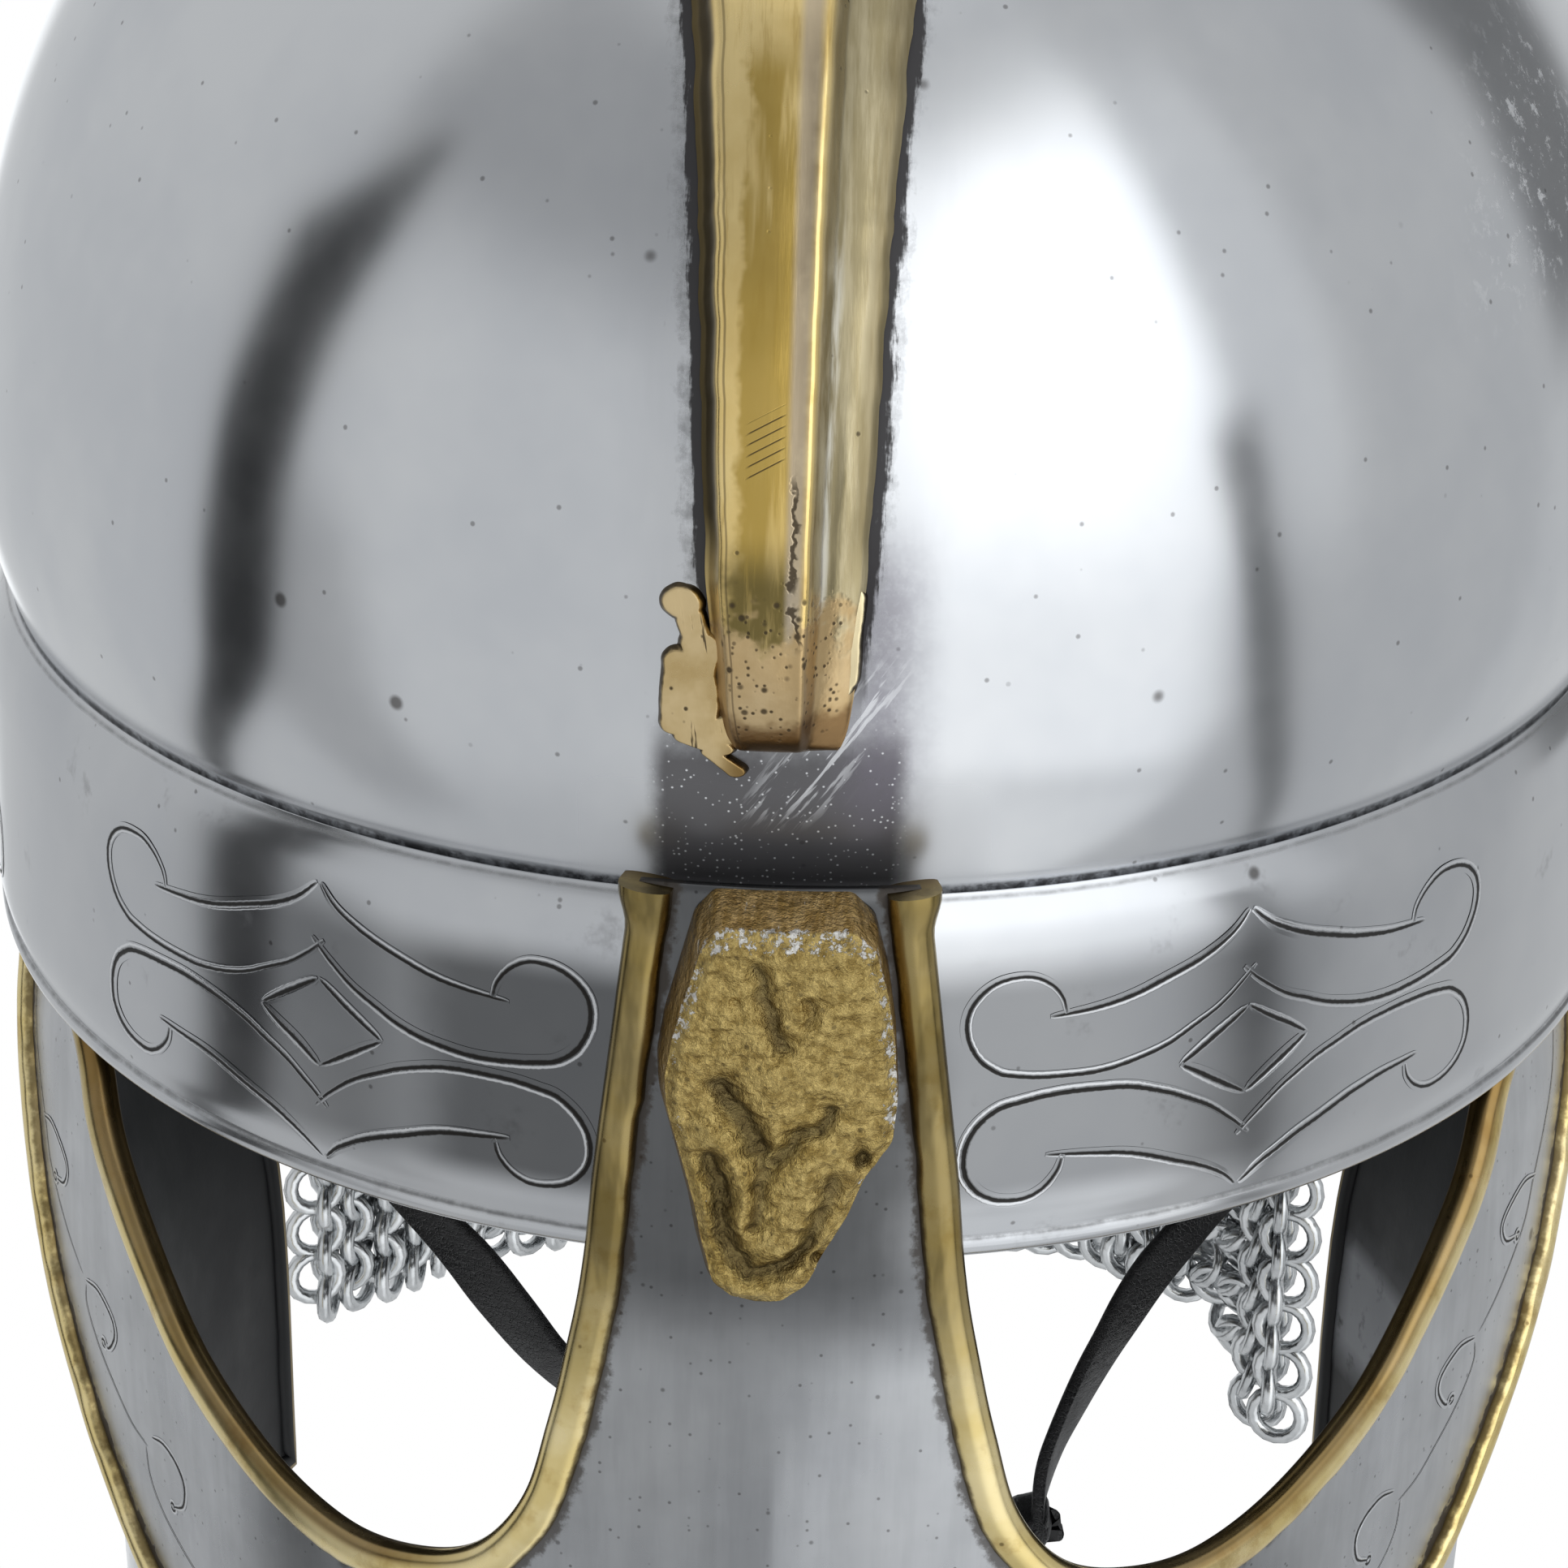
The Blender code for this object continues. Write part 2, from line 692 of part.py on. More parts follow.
def guard_point(y, height, out):
    """A point on the wearer's left guard's middle surface, which draws in below the band."""
    inset = BAND_LIP + CLEARANCE + GUARD_STACK
    side, gain, shift = read_table(GUARD_FORM, -height / GUARD_DROP)
    half_width = (BAND_HALF_WIDTH - inset) * (1 - side)
    half_length = (BAND_HALF_LENGTH - inset) * (1 + gain)
    middle = -shift * BAND_HALF_LENGTH
    turn = math.degrees(math.acos(-(y - middle) / half_length))
    return plan_point(half_width, half_length, turn, out, height) + Vector((0, middle, 0))


def guard_front(height):
    """Where the guard's front edge lies at this height: just behind the mask's rim."""
    edge = [(level, mask_point(turn, level, 0.0).y) for turn, level in rim_half()]
    return read_table(sorted(edge), height)[0] + GUARD_SETBACK


def guard_place(share, height):
    front = guard_front(height)
    return front + (GUARD_REAR - front) * share


def guard_column(place, drop):
    """Heights down the guard from its tab to its hem."""
    low = -drop * GUARD_DROP
    heights = [GUARD_TAB_RISE + (low - GUARD_TAB_RISE) * row / GUARD_ROWS for row in range(GUARD_ROWS + 1)]
    return [(guard_place(place, height), height) for height in heights]


def guard_grid(out):
    hem = curve_through(GUARD_HEM, GUARD_STEPS)
    return [[guard_point(y, height, out) for y, height in guard_column(*row)] for row in hem]


def guard_border():
    """The guard's free edge from the top of its front, round its hem, to the top of its rear."""
    columns = [guard_column(*row) for row in curve_through(GUARD_HEM, GUARD_STEPS)]
    return columns[0][:-1] + [column[-1] for column in columns] + columns[-1][-2::-1]


def make_guards(finish, trim):
    front, back = guard_grid(GUARD_WALL / 2), guard_grid(-GUARD_WALL / 2)
    left = make_plate("cheek_guard_left", front, back, finish)
    right = make_plate("cheek_guard_right", mirror_rows(front), mirror_rows(back), finish)
    section = binding_section(GUARD_WALL, EDGE_BINDING_LEG)
    rows = binding_rows(guard_border(), guard_point, section, SLOPE_STEP, 1.0)
    make_tube("guard_binding_left", rows, trim)
    make_tube("guard_binding_right", mirror_rows(rows), trim)
    return left, right


def mail_point(share, depth, out):
    """A point on the aventail: across it from the wearer's right to left, and down it."""
    inset = BAND_LIP + CLEARANCE + MAIL_THICKNESS / 2
    half_width, half_length = BAND_HALF_WIDTH - inset, BAND_HALF_LENGTH - inset
    start = math.degrees(math.acos(-MAIL_START / half_length))
    turn = -start - (360 - 2 * start) * share
    ripple = MAIL_RIPPLE * depth * (math.sin(2 * math.pi * MAIL_FOLDS * share) - 1)
    corner = MAIL_CORNER_DROP * blend(MAIL_CORNER_FROM, MAIL_CORNER_TO, share)
    height = MAIL_TAB_RISE - (MAIL_TAB_RISE + MAIL_DROP + corner) * depth
    return plan_point(half_width, half_length, turn, out + ripple, height)


def make_mail(finish):
    sides = []
    for out in (MAIL_THICKNESS / 2, -MAIL_THICKNESS / 2):
        sides.append(
            [
                [mail_point(column / MAIL_COLUMNS, row / MAIL_ROWS, out) for row in range(MAIL_ROWS + 1)]
                for column in range(MAIL_COLUMNS + 1)
            ]
        )
    return make_plate("mail_aventail", sides[0], sides[1], finish)


def strap_seat(side, height):
    """The strap's middle where it lies on the guard's inner face, and its turn there."""
    spot = guard_point(STRAP_PLACE, height, -GUARD_WALL / 2 - STRAP_CLEARANCE - STRAP_THICKNESS / 2)
    along = slopes(guard_point, STRAP_PLACE, height, SLOPE_STEP)[0]
    return Vector((side * spot.x, spot.y, spot.z)), math.degrees(math.atan2(side * along.x, along.y))


def route_point(across, back, drop):
    return Vector((across * BAND_HALF_WIDTH, back * BAND_HALF_LENGTH, -drop * GUARD_DROP))


def ribbon_rows(path):
    """Rectangular sections along a path of points with the ribbon's turn about its line."""
    rows = []
    for index, (x, y, z, twist) in enumerate(path):
        before, after = path[max(index - 1, 0)], path[min(index + 1, len(path) - 1)]
        run = (Vector(after[:3]) - Vector(before[:3])).normalized()
        angle = math.radians(twist)
        level = Vector((math.sin(angle), math.cos(angle), 0))
        across = (level - run * run.dot(level)).normalized()
        thick = run.cross(across)
        middle = Vector((x, y, z))
        half_w, half_t = STRAP_WIDTH / 2, STRAP_THICKNESS / 2
        rows.append(
            [
                middle + across * half_w + thick * half_t,
                middle - across * half_w + thick * half_t,
                middle - across * half_w - thick * half_t,
                middle + across * half_w - thick * half_t,
            ]
        )
    return rows


def strap_path(side, route, end):
    """The strap from above its rivet to its end, as points with a twist."""
    path = []
    for stop in STRAP_SEAT_STOPS:
        spot, twist = strap_seat(side, -stop * RIVET_DROP)
        path.append((*spot, twist))
    for across, back, drop, twist in route:
        path.append((*route_point(side * across, back, drop), side * twist))
    path += end
    return curve_through(path, STRAP_STEPS)


def buckle_axis():
    tilt = math.radians(BUCKLE_TILT)
    return Vector((math.cos(tilt), 0, math.sin(tilt)))


def strap_arc(bar, first, last, steps):
    """Points of a strap's turn round a bar of the buckle, between two angles about the bar."""
    reach = BUCKLE_WIRE + STRAP_CLEARANCE + STRAP_THICKNESS / 2
    angles = [math.radians(first + (last - first) * step / steps) for step in range(steps + 1)]
    return [(bar.x + reach * math.cos(a), bar.y, bar.z + reach * math.sin(a), 0.0) for a in angles]


def cut_hole(target, centre, axis, radius, length):
    """A round hole through the target, cut by a hidden guide."""
    bpy.ops.mesh.primitive_cylinder_add(vertices=12, radius=radius, depth=length, location=centre)
    guide = bpy.context.object
    guide.name = target.name + "_hole_guide"
    guide.rotation_mode = "QUATERNION"
    guide.rotation_quaternion = Vector((0, 0, 1)).rotation_difference(axis)
    guide.hide_render = True
    guide.display_type = "WIRE"
    cut = target.modifiers.new("rivet hole", "BOOLEAN")
    cut.operation = "DIFFERENCE"
    cut.object = guide


def make_rivet(name, centre, axis, grip, finish):
    """A round-headed rivet: two domed heads and the shank between them."""
    profile = [
        (0.0, grip / 2 + RIVET_HEAD_HEIGHT),
        (0.62 * RIVET_HEAD_RADIUS, grip / 2 + 0.82 * RIVET_HEAD_HEIGHT),
        (RIVET_HEAD_RADIUS, grip / 2 + 0.20 * RIVET_HEAD_HEIGHT),
        (RIVET_HEAD_RADIUS, grip / 2 + CLEARANCE / 2),
        (RIVET_RADIUS, grip / 2 + CLEARANCE / 2),
    ]
    profile += [(radius, -place) for radius, place in reversed(profile)]
    side = axis.orthogonal().normalized()
    other = axis.cross(side)
    count = RIVET_SIDES
    points, faces = [centre + axis * profile[0][1]], []
    for radius, place in profile[1:-1]:
        for k in range(count):
            angle = 2 * math.pi * k / count
            points.append(centre + axis * place + (side * math.cos(angle) + other * math.sin(angle)) * radius)
    points.append(centre + axis * profile[-1][1])
    rows = len(profile) - 2
    for k in range(count):
        after = (k + 1) % count
        faces.append((0, 1 + k, 1 + after))
        for row in range(rows - 1):
            low = 1 + row * count
            faces.append((low + k, low + after, low + count + after, low + count + k))
        last = 1 + (rows - 1) * count
        faces.append((last + k, last + after, len(points) - 1))
    return make_object(name, points, faces, finish)


def make_straps(finish, metal, guards):
    """Both halves of the chin strap, each riveted inside its guard, with their ends in the buckle."""
    middle = route_point(*BUCKLE_PLACE)
    reach = buckle_axis() * BUCKLE_LENGTH / 2
    tail = [(*middle, 0.0)] + [(*route_point(*row), 0.0) for row in STRAP_TAIL]
    ends = {
        1: strap_arc(middle + reach, 0.0, -190.0, 5),
        -1: strap_arc(middle - reach, 115.0, 55.0, 3) + tail,
    }
    routes = {1: STRAP_ROUTE_LEFT, -1: STRAP_ROUTE_RIGHT}
    for side, name, guard in ((1, "left", guards[0]), (-1, "right", guards[1])):
        rows = ribbon_rows(strap_path(side, routes[side], ends[side]))
        strap = make_tube(f"chin_strap_{name}", rows, finish)
        inner = guard_point(STRAP_PLACE, -RIVET_DROP, -GUARD_WALL / 2 - STRAP_CLEARANCE - STRAP_THICKNESS)
        outer = guard_point(STRAP_PLACE, -RIVET_DROP, GUARD_WALL / 2)
        along_y, along_z = slopes(guard_point, STRAP_PLACE, -RIVET_DROP, SLOPE_STEP)
        axis = along_y.cross(along_z).normalized()
        grip = abs((outer - inner).dot(axis)) + CLEARANCE
        centre = (outer + inner) / 2
        centre.x *= side
        axis.x *= side
        for target in (strap, guard):
            cut_hole(target, centre, axis, RIVET_RADIUS + CLEARANCE, 3 * grip)
        make_rivet(f"strap_rivet_{name}", centre, axis, grip, metal)


def make_buckle(finish):
    """The buckle: a wire frame whose two short bars carry the strap's two ends."""
    middle = route_point(*BUCKLE_PLACE)
    along, across = buckle_axis(), Vector((0, 1, 0))
    half_width = STRAP_WIDTH / 2 + 2 * CLEARANCE + BUCKLE_WIRE
    half_length = BUCKLE_LENGTH / 2
    corner = 0.25 * half_length
    path = []
    for sign_a, sign_b, start in ((1, 1, 0), (-1, 1, 90), (-1, -1, 180), (1, -1, 270)):
        for step in range(3):
            angle = math.radians(start + 45 * step)
            place_a = sign_a * (half_width - corner) + corner * math.cos(angle)
            place_b = sign_b * (half_length - corner) + corner * math.sin(angle)
            path.append(across * place_a + along * place_b)
    flat = along.cross(across)
    rows = []
    for index, point in enumerate(path):
        run = (path[(index + 1) % len(path)] - path[index - 1]).normalized()
        out = run.cross(flat)
        turns = [2 * math.pi * k / BUCKLE_SIDES for k in range(BUCKLE_SIDES)]
        rows.append([middle + point + (out * math.cos(a) + flat * math.sin(a)) * BUCKLE_WIRE for a in turns])
    return make_tube("strap_buckle", rows, finish, ring=True)


def main():
    clear_scene()
    steel = material("steel", STEEL, 1.0, 0.28)
    brass = material("brass", BRASS, 1.0, 0.32)
    gilt = material("gilt", GILT, 0.8, 0.5)
    painted = material("black_paint", BLACK_PAINT, 0.0, 0.45)
    leather = material("leather", LEATHER, 0.0, 0.6)
    make_skull(steel)
    make_band(steel)
    make_comb(brass)
    make_mask(steel)
    make_mask_bindings(brass)
    make_ornament(gilt)
    guards = make_guards(steel, brass)
    make_mail(steel)
    make_straps(leather, painted, guards)
    make_buckle(painted)


main()
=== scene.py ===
"""The crusader helmet dressed for its picture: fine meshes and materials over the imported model."""

import math

import bmesh
import bpy
import numpy as np
from mathutils import Matrix, Vector


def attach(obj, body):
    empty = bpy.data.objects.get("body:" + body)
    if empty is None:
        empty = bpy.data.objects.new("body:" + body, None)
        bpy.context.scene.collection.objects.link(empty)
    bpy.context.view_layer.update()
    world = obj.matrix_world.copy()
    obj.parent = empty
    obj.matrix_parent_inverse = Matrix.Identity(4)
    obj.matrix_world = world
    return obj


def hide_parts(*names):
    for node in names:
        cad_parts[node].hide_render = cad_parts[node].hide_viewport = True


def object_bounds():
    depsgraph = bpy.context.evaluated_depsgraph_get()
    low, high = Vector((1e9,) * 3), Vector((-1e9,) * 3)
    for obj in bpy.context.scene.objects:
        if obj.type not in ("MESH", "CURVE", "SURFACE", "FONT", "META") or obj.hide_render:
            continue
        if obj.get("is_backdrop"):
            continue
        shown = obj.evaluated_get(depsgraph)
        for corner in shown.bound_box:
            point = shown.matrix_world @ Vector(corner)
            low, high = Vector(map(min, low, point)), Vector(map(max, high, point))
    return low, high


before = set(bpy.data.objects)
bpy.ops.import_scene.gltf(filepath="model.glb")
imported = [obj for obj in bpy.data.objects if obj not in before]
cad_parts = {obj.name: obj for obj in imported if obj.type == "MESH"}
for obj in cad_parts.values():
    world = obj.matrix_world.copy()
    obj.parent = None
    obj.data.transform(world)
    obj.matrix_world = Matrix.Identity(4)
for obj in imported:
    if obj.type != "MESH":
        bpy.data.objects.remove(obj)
cad_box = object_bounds()

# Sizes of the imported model, in metres
CLEARANCE = 0.0003
BAND_HALF_WIDTH = 0.104
BAND_HALF_LENGTH = 0.1216
BAND_HEIGHT = 0.0432
BAND_WALL = 0.0016
BAND_LIP = 0.0029
SKULL_RISE = 0.1290
SKULL_WALL = 0.0016
SKULL_BULGE = 0.0040
SKULL_BULGE_RISE = 0.0200
SKULL_SKIRT = 0.0140
COMB_HALF_WIDTH = 0.0155
COMB_HEIGHT = 0.0070
COMB_END_TURN = 4.0
MASK_WALL = 0.0012
MASK_DROP = 0.1230
MASK_TOP_RISE = 0.0030
MASK_TAB_RISE = 0.0200
NASAL_TOP_TURN = 8.1
NASAL_FOOT_TURN = 10.9
EYE_CORNER_TURN = 58.2
EYE_DEPTH = 0.0426
RIM_TURN = 77.0
TAB_LEAN = 3.0
BINDING_WALL = 0.0006
EYE_BINDING_LEG = 0.0037
EDGE_BINDING_LEG = 0.0026
ORNAMENT_HALF_WIDTH = 0.0128
ORNAMENT_LENGTH = 0.0480
ORNAMENT_HEIGHT = 0.0066
GUARD_WALL = 0.0012
GUARD_DROP = 0.1250
GUARD_REAR = 0.0510
GUARD_SETBACK = 0.0042
GUARD_TAB_RISE = 0.0180
MAIL_THICKNESS = 0.0040
MAIL_DROP = 0.1170
MAIL_TAB_RISE = 0.0120
MAIL_START = 0.0720
MAIL_RIPPLE = 0.0012
MAIL_CORNER_DROP = 0.0170
MAIL_CORNER_FROM = 0.86
MAIL_CORNER_TO = 0.93
MAIL_FOLDS = 7
STRAP_WIDTH = 0.0100
STRAP_THICKNESS = 0.0018
STRAP_PLACE = 0.0180
STRAP_CLEARANCE = 0.0006
RIVET_DROP = 0.0120
BUCKLE_WIRE = 0.0009
BUCKLE_LENGTH = 0.0096
BUCKLE_TILT = 45.0

# The eye opening's edge and the rim, as in the model: shares across and down
EYE_SHARES = (
    (0.024, 0.31), (0.044, 0.50), (0.070, 0.70), (0.112, 0.85), (0.165, 0.945), (0.240, 0.99),
    (0.330, 1.00), (0.425, 0.96), (0.525, 0.885), (0.665, 0.745), (0.765, 0.585), (0.850, 0.42),
    (0.920, 0.25), (0.985, 0.04),
)
CENTRE_DROPS = (0.00, 0.11, 0.22, 0.36, 0.54, 0.76)
RIM_SHARES = (
    (0.000, 1.000), (0.185, 0.965), (0.355, 0.875), (0.505, 0.755), (0.640, 0.625), (0.735, 0.515),
    (0.810, 0.405), (0.880, 0.280), (0.945, 0.135),
)
# How the mask and the guards draw in: drop, side inset, front inset or length gain, shift forward
MASK_SECTIONS = (
    (0.00, 0.0000, 0.000), (0.04, 0.0000, 0.000), (0.13, -0.0120, 0.000), (0.33, -0.0120, 0.000),
    (0.57, 0.0180, 0.004), (0.78, 0.0480, 0.024), (1.00, 0.0950, 0.075),
)
GUARD_SECTIONS = (
    (0.00, 0.000, 0.000, 0.000), (0.30, 0.028, 0.005, 0.024), (0.60, 0.098, 0.013, 0.060),
    (1.00, 0.118, 0.013, 0.060),
)
GUARD_HEM = (
    (0.00, 0.60), (0.12, 0.76), (0.30, 0.90), (0.60, 0.98), (0.82, 1.00), (1.00, 1.00),
)
# The chin strap's route: across, back, drop and the ribbon's turn about its line
STRAP_ROUTE_RIGHT = (
    (0.872, 0.147, 0.240, 5.0), (0.820, 0.146, 0.288, 4.0), (0.745, 0.145, 0.340, 12.0),
    (0.600, 0.140, 0.445, 42.0), (0.460, 0.130, 0.555, 60.0), (0.330, 0.115, 0.690, 58.0),
    (0.130, 0.075, 0.795, 34.0), (-0.080, 0.050, 0.845, 8.0),
)
STRAP_ROUTE_LEFT = (
    (0.872, 0.147, 0.240, 9.0), (0.820, 0.146, 0.284, 12.0), (0.745, 0.145, 0.330, 24.0),
    (0.603, 0.140, 0.430, 46.0), (0.490, 0.130, 0.540, 50.0), (0.408, 0.110, 0.650, 36.0),
    (0.345, 0.070, 0.755, 20.0),
)
STRAP_SEAT_STOPS = (0.30, 1.00, 1.70)
BUCKLE_PLACE = (0.265, 0.040, 0.868)
STRAP_TAIL = (
    (0.322, 0.036, 0.918), (0.365, 0.030, 0.985),
)


# Curves, noise and the shared surfaces
def curve_through(rows, steps):
    """A smooth curve through rows of numbers, with this many steps between neighbours."""
    rows = [np.array(row, float) for row in rows]
    rows = [2 * rows[0] - rows[1], *rows, 2 * rows[-1] - rows[-2]]
    found = []
    for p, q, r, s in zip(rows, rows[1:], rows[2:], rows[3:]):
        for step in range(steps):
            t = step / steps
            square, cube = 2 * p - 5 * q + 4 * r - s, 3 * q - p - 3 * r + s
            found.append(0.5 * (2 * q + (r - p) * t + square * t**2 + cube * t**3))
    found.append(rows[-2])
    return np.array(found)


def look_up(table, place):
    """The other columns of a table at places in its first one."""
    table = np.asarray(table, float)
    return [np.interp(place, table[:, 0], table[:, column]) for column in range(1, table.shape[1])]


def smooth(low, high, value):
    """Runs softly from 0 to 1 as the value goes from low to high."""
    share = np.clip((np.asarray(value, float) - low) / (high - low), 0.0, 1.0)
    return share * share * (3 - 2 * share)


def stack(x, y, z):
    return np.stack(np.broadcast_arrays(x, y, z), axis=-1).astype(float)


def unit(vectors):
    return vectors / np.maximum(np.linalg.norm(vectors, axis=-1, keepdims=True), 1e-12)


def plan_point(half_width, half_length, turn, out, height):
    """A point on an ellipse round the helmet: from the front at 0 towards the wearer's left."""
    angle = np.radians(turn)
    across, back = half_width * np.sin(angle), -half_length * np.cos(angle)
    nx, ny = np.sin(angle) / half_width, -np.cos(angle) / half_length
    size = np.hypot(nx, ny)
    return stack(across + nx / size * out, back + ny / size * out, height)


def value_noise(points, seed):
    """Smooth noise from -1 to 1 over unit cells."""
    points = np.asarray(points, float)
    low = np.floor(points).astype(np.int64)
    share = points - low
    share = share * share * (3 - 2 * share)
    total = 0.0
    for corner in range(8):
        step = np.array([(corner >> axis) & 1 for axis in range(3)])
        x, y, z = np.moveaxis(low + step, -1, 0)
        mixed = (x * 73856093) ^ (y * 19349663) ^ (z * 83492791) ^ (seed * 2654435)
        mixed = (mixed ^ (mixed >> 13)) * 1274126177
        value = ((mixed ^ (mixed >> 16)) & 0xFFFF) / 32767.5 - 1.0
        total = total + value * np.prod(np.where(step, share, 1 - share), axis=-1)
    return total


def layered_noise(points, size, seed, layers=3):
    """Layers of noise with features of this size in metres and finer."""
    total = 0.0
    for layer in range(layers):
        total = total + 0.5**layer * value_noise(np.asarray(points) / size * 2**layer, seed + layer)
    return total


def noise_along(places, seed):
    """Noise along a line of numbers."""
    places = np.asarray(places, float)
    return value_noise(stack(places, 0 * places + 0.5, 0 * places + 0.5), seed)


SEAM_INSET = BAND_LIP + CLEARANCE
SEAM_HALF_WIDTH = BAND_HALF_WIDTH - SEAM_INSET
SKULL_HALF_WIDTH = SEAM_HALF_WIDTH + SKULL_BULGE
SKULL_HALF_LENGTH = BAND_HALF_LENGTH - SEAM_INSET + SKULL_BULGE
SKULL_MIDDLE = BAND_HEIGHT + SKULL_BULGE_RISE
SKULL_CROWN = SKULL_RISE - SKULL_BULGE_RISE
SKULL_SHARE = SEAM_HALF_WIDTH / SKULL_HALF_WIDTH
SKULL_BELLY = SKULL_BULGE_RISE / math.sqrt(1 - SKULL_SHARE**2)


def skull_over(across, turn, out):
    """A point over the skull along its middle line: from the front at 0 to the back at 180."""
    across, turn = np.broadcast_arrays(np.asarray(across, float), np.asarray(turn, float))
    reach = np.where((turn < 0) | (turn > 180), SKULL_BELLY, SKULL_CROWN)
    angle = np.radians(turn)
    shrink = np.sqrt(1 - (across / SKULL_HALF_WIDTH) ** 2)
    back = -SKULL_HALF_LENGTH * np.cos(angle) * shrink
    rise = reach * np.sin(angle) * shrink
    normal = unit(stack(across / SKULL_HALF_WIDTH**2, back / SKULL_HALF_LENGTH**2, rise / reach**2))
    return stack(across, back, SKULL_MIDDLE + rise) + normal * np.asarray(out)[..., None]


BINDING_STACK = MASK_WALL / 2 + CLEARANCE + BINDING_WALL
NASAL_STANDOFF = CLEARANCE + BINDING_STACK
TEMPLE_INSET = BAND_LIP + CLEARANCE + BINDING_STACK
NASAL_SIDE_TURN = 20.0
TEMPLE_SIDE_TURN = 52.0
MASK_FORM = curve_through(MASK_SECTIONS, 6)
GUARD_FORM = curve_through(GUARD_SECTIONS, 6)
CREASE_RISE = 0.0006
CREASE_HALF_WIDTH = 0.0070


def mask_point(turn, height, out):
    """A point on the mask's middle surface, or this far outside it, with the nasal's low crease."""
    turn, height = np.asarray(turn, float), np.asarray(height, float)
    side, front = look_up(MASK_FORM, -height / MASK_DROP)
    passing = smooth(NASAL_SIDE_TURN, TEMPLE_SIDE_TURN, np.abs(turn))
    offset = NASAL_STANDOFF * (1 - passing) - TEMPLE_INSET * passing
    reach = np.maximum(0.0, 1 - np.abs(BAND_HALF_WIDTH * np.radians(turn)) / CREASE_HALF_WIDTH)
    crease = CREASE_RISE * reach**1.3 * smooth(-0.012, -0.034, height)
    half_width, half_length = BAND_HALF_WIDTH * (1 - side), BAND_HALF_LENGTH * (1 - front)
    return plan_point(half_width, half_length, turn, offset + crease + out, height)


def mask_outside(turn, height, out):
    return mask_point(turn, height, MASK_WALL / 2 + out)


def eye_edge(steps):
    """The eye opening's edge from the nasal's top round to the temple, as turns and heights."""
    top = BAND_HEIGHT + MASK_TOP_RISE
    slope = NASAL_FOOT_TURN - NASAL_TOP_TURN
    bends = ((0, 1), (0.40, 0.62), (0.78, 0.26))
    rows = [(NASAL_TOP_TURN + gone * slope, left * top) for gone, left in bends]
    rows.append((NASAL_FOOT_TURN, 0.0))
    spread = EYE_CORNER_TURN - NASAL_FOOT_TURN
    rows += [(NASAL_FOOT_TURN + across * spread, -drop * EYE_DEPTH) for across, drop in EYE_SHARES]
    rows.append((EYE_CORNER_TURN + TAB_LEAN, 0.5 * MASK_TAB_RISE))
    rows.append((EYE_CORNER_TURN + 2 * TAB_LEAN, MASK_TAB_RISE))
    return curve_through(rows, steps)


def rim_rows():
    rows = [(turn * RIM_TURN, -drop * MASK_DROP) for turn, drop in RIM_SHARES]
    return rows + [(RIM_TURN, 0.0), (RIM_TURN + TAB_LEAN, MASK_TAB_RISE)]


def rim_edge(steps):
    """The mask's outer edge from the wearer's right temple under the chin to the left."""
    half = rim_rows()
    return curve_through([(-turn, height) for turn, height in half[:0:-1]] + half, steps)


def far_edge(steps):
    """Places beside the eye opening's: down the mask's middle line, then along its rim."""
    top = BAND_HEIGHT + MASK_TOP_RISE
    heights = [top, 0.62 * top, 0.26 * top, 0.0]
    heights += [-drop * MASK_DROP for drop in (*CENTRE_DROPS[1:], 1.0)]
    found = []
    for high, low in zip(heights, heights[1:]):
        found += [(0.0, high + (low - high) * step / steps) for step in range(steps)]
    rim = rim_edge(steps)
    return np.array(found + [tuple(row) for row in rim[len(rim) // 2 :]])


GUARD_STACK = GUARD_WALL / 2 + CLEARANCE + BINDING_WALL


def guard_point(back, height, out):
    """A point on the wearer's left guard's middle surface."""
    inset = BAND_LIP + CLEARANCE + GUARD_STACK
    back, height = np.asarray(back, float), np.asarray(height, float)
    side, gain, shift = look_up(GUARD_FORM, -height / GUARD_DROP)
    half_length = (BAND_HALF_LENGTH - inset) * (1 + gain)
    middle = -shift * BAND_HALF_LENGTH
    turn = np.degrees(np.arccos(np.clip(-(back - middle) / half_length, -1, 1)))
    spot = plan_point((BAND_HALF_WIDTH - inset) * (1 - side), half_length, turn, out, height)
    spot[..., 1] += middle
    return spot


def guard_front(height):
    rows = np.array(sorted(rim_rows(), key=lambda row: row[1]))
    back = mask_point(rows[:, 0], rows[:, 1], 0.0)[..., 1]
    return np.interp(height, rows[:, 1], back) + GUARD_SETBACK


def guard_column(place, drop, rows):
    """A column of the guard from its tab to its hem, as distances back and heights."""
    height = np.linspace(GUARD_TAB_RISE, -drop * GUARD_DROP, rows + 1)
    front = guard_front(height)
    return np.stack([front + (GUARD_REAR - front) * place, height], axis=-1)


MAIL_INSET = BAND_LIP + CLEARANCE + MAIL_THICKNESS / 2


def mail_point(share, depth, out):
    """A point on the aventail: across it from the wearer's right to left, and down it."""
    half_width, half_length = BAND_HALF_WIDTH - MAIL_INSET, BAND_HALF_LENGTH - MAIL_INSET
    start = math.degrees(math.acos(-MAIL_START / half_length))
    turn = -start - (360 - 2 * start) * share
    ripple = MAIL_RIPPLE * depth * (np.sin(2 * math.pi * MAIL_FOLDS * share) - 1)
    height = MAIL_TAB_RISE - mail_reach(share) * depth
    return plan_point(half_width, half_length, turn, out + ripple, height)


def mail_reach(share):
    """The aventail's whole height here: it hangs lower at the wearer's left end."""
    corner = MAIL_CORNER_DROP * smooth(MAIL_CORNER_FROM, MAIL_CORNER_TO, share)
    return MAIL_TAB_RISE + MAIL_DROP + corner


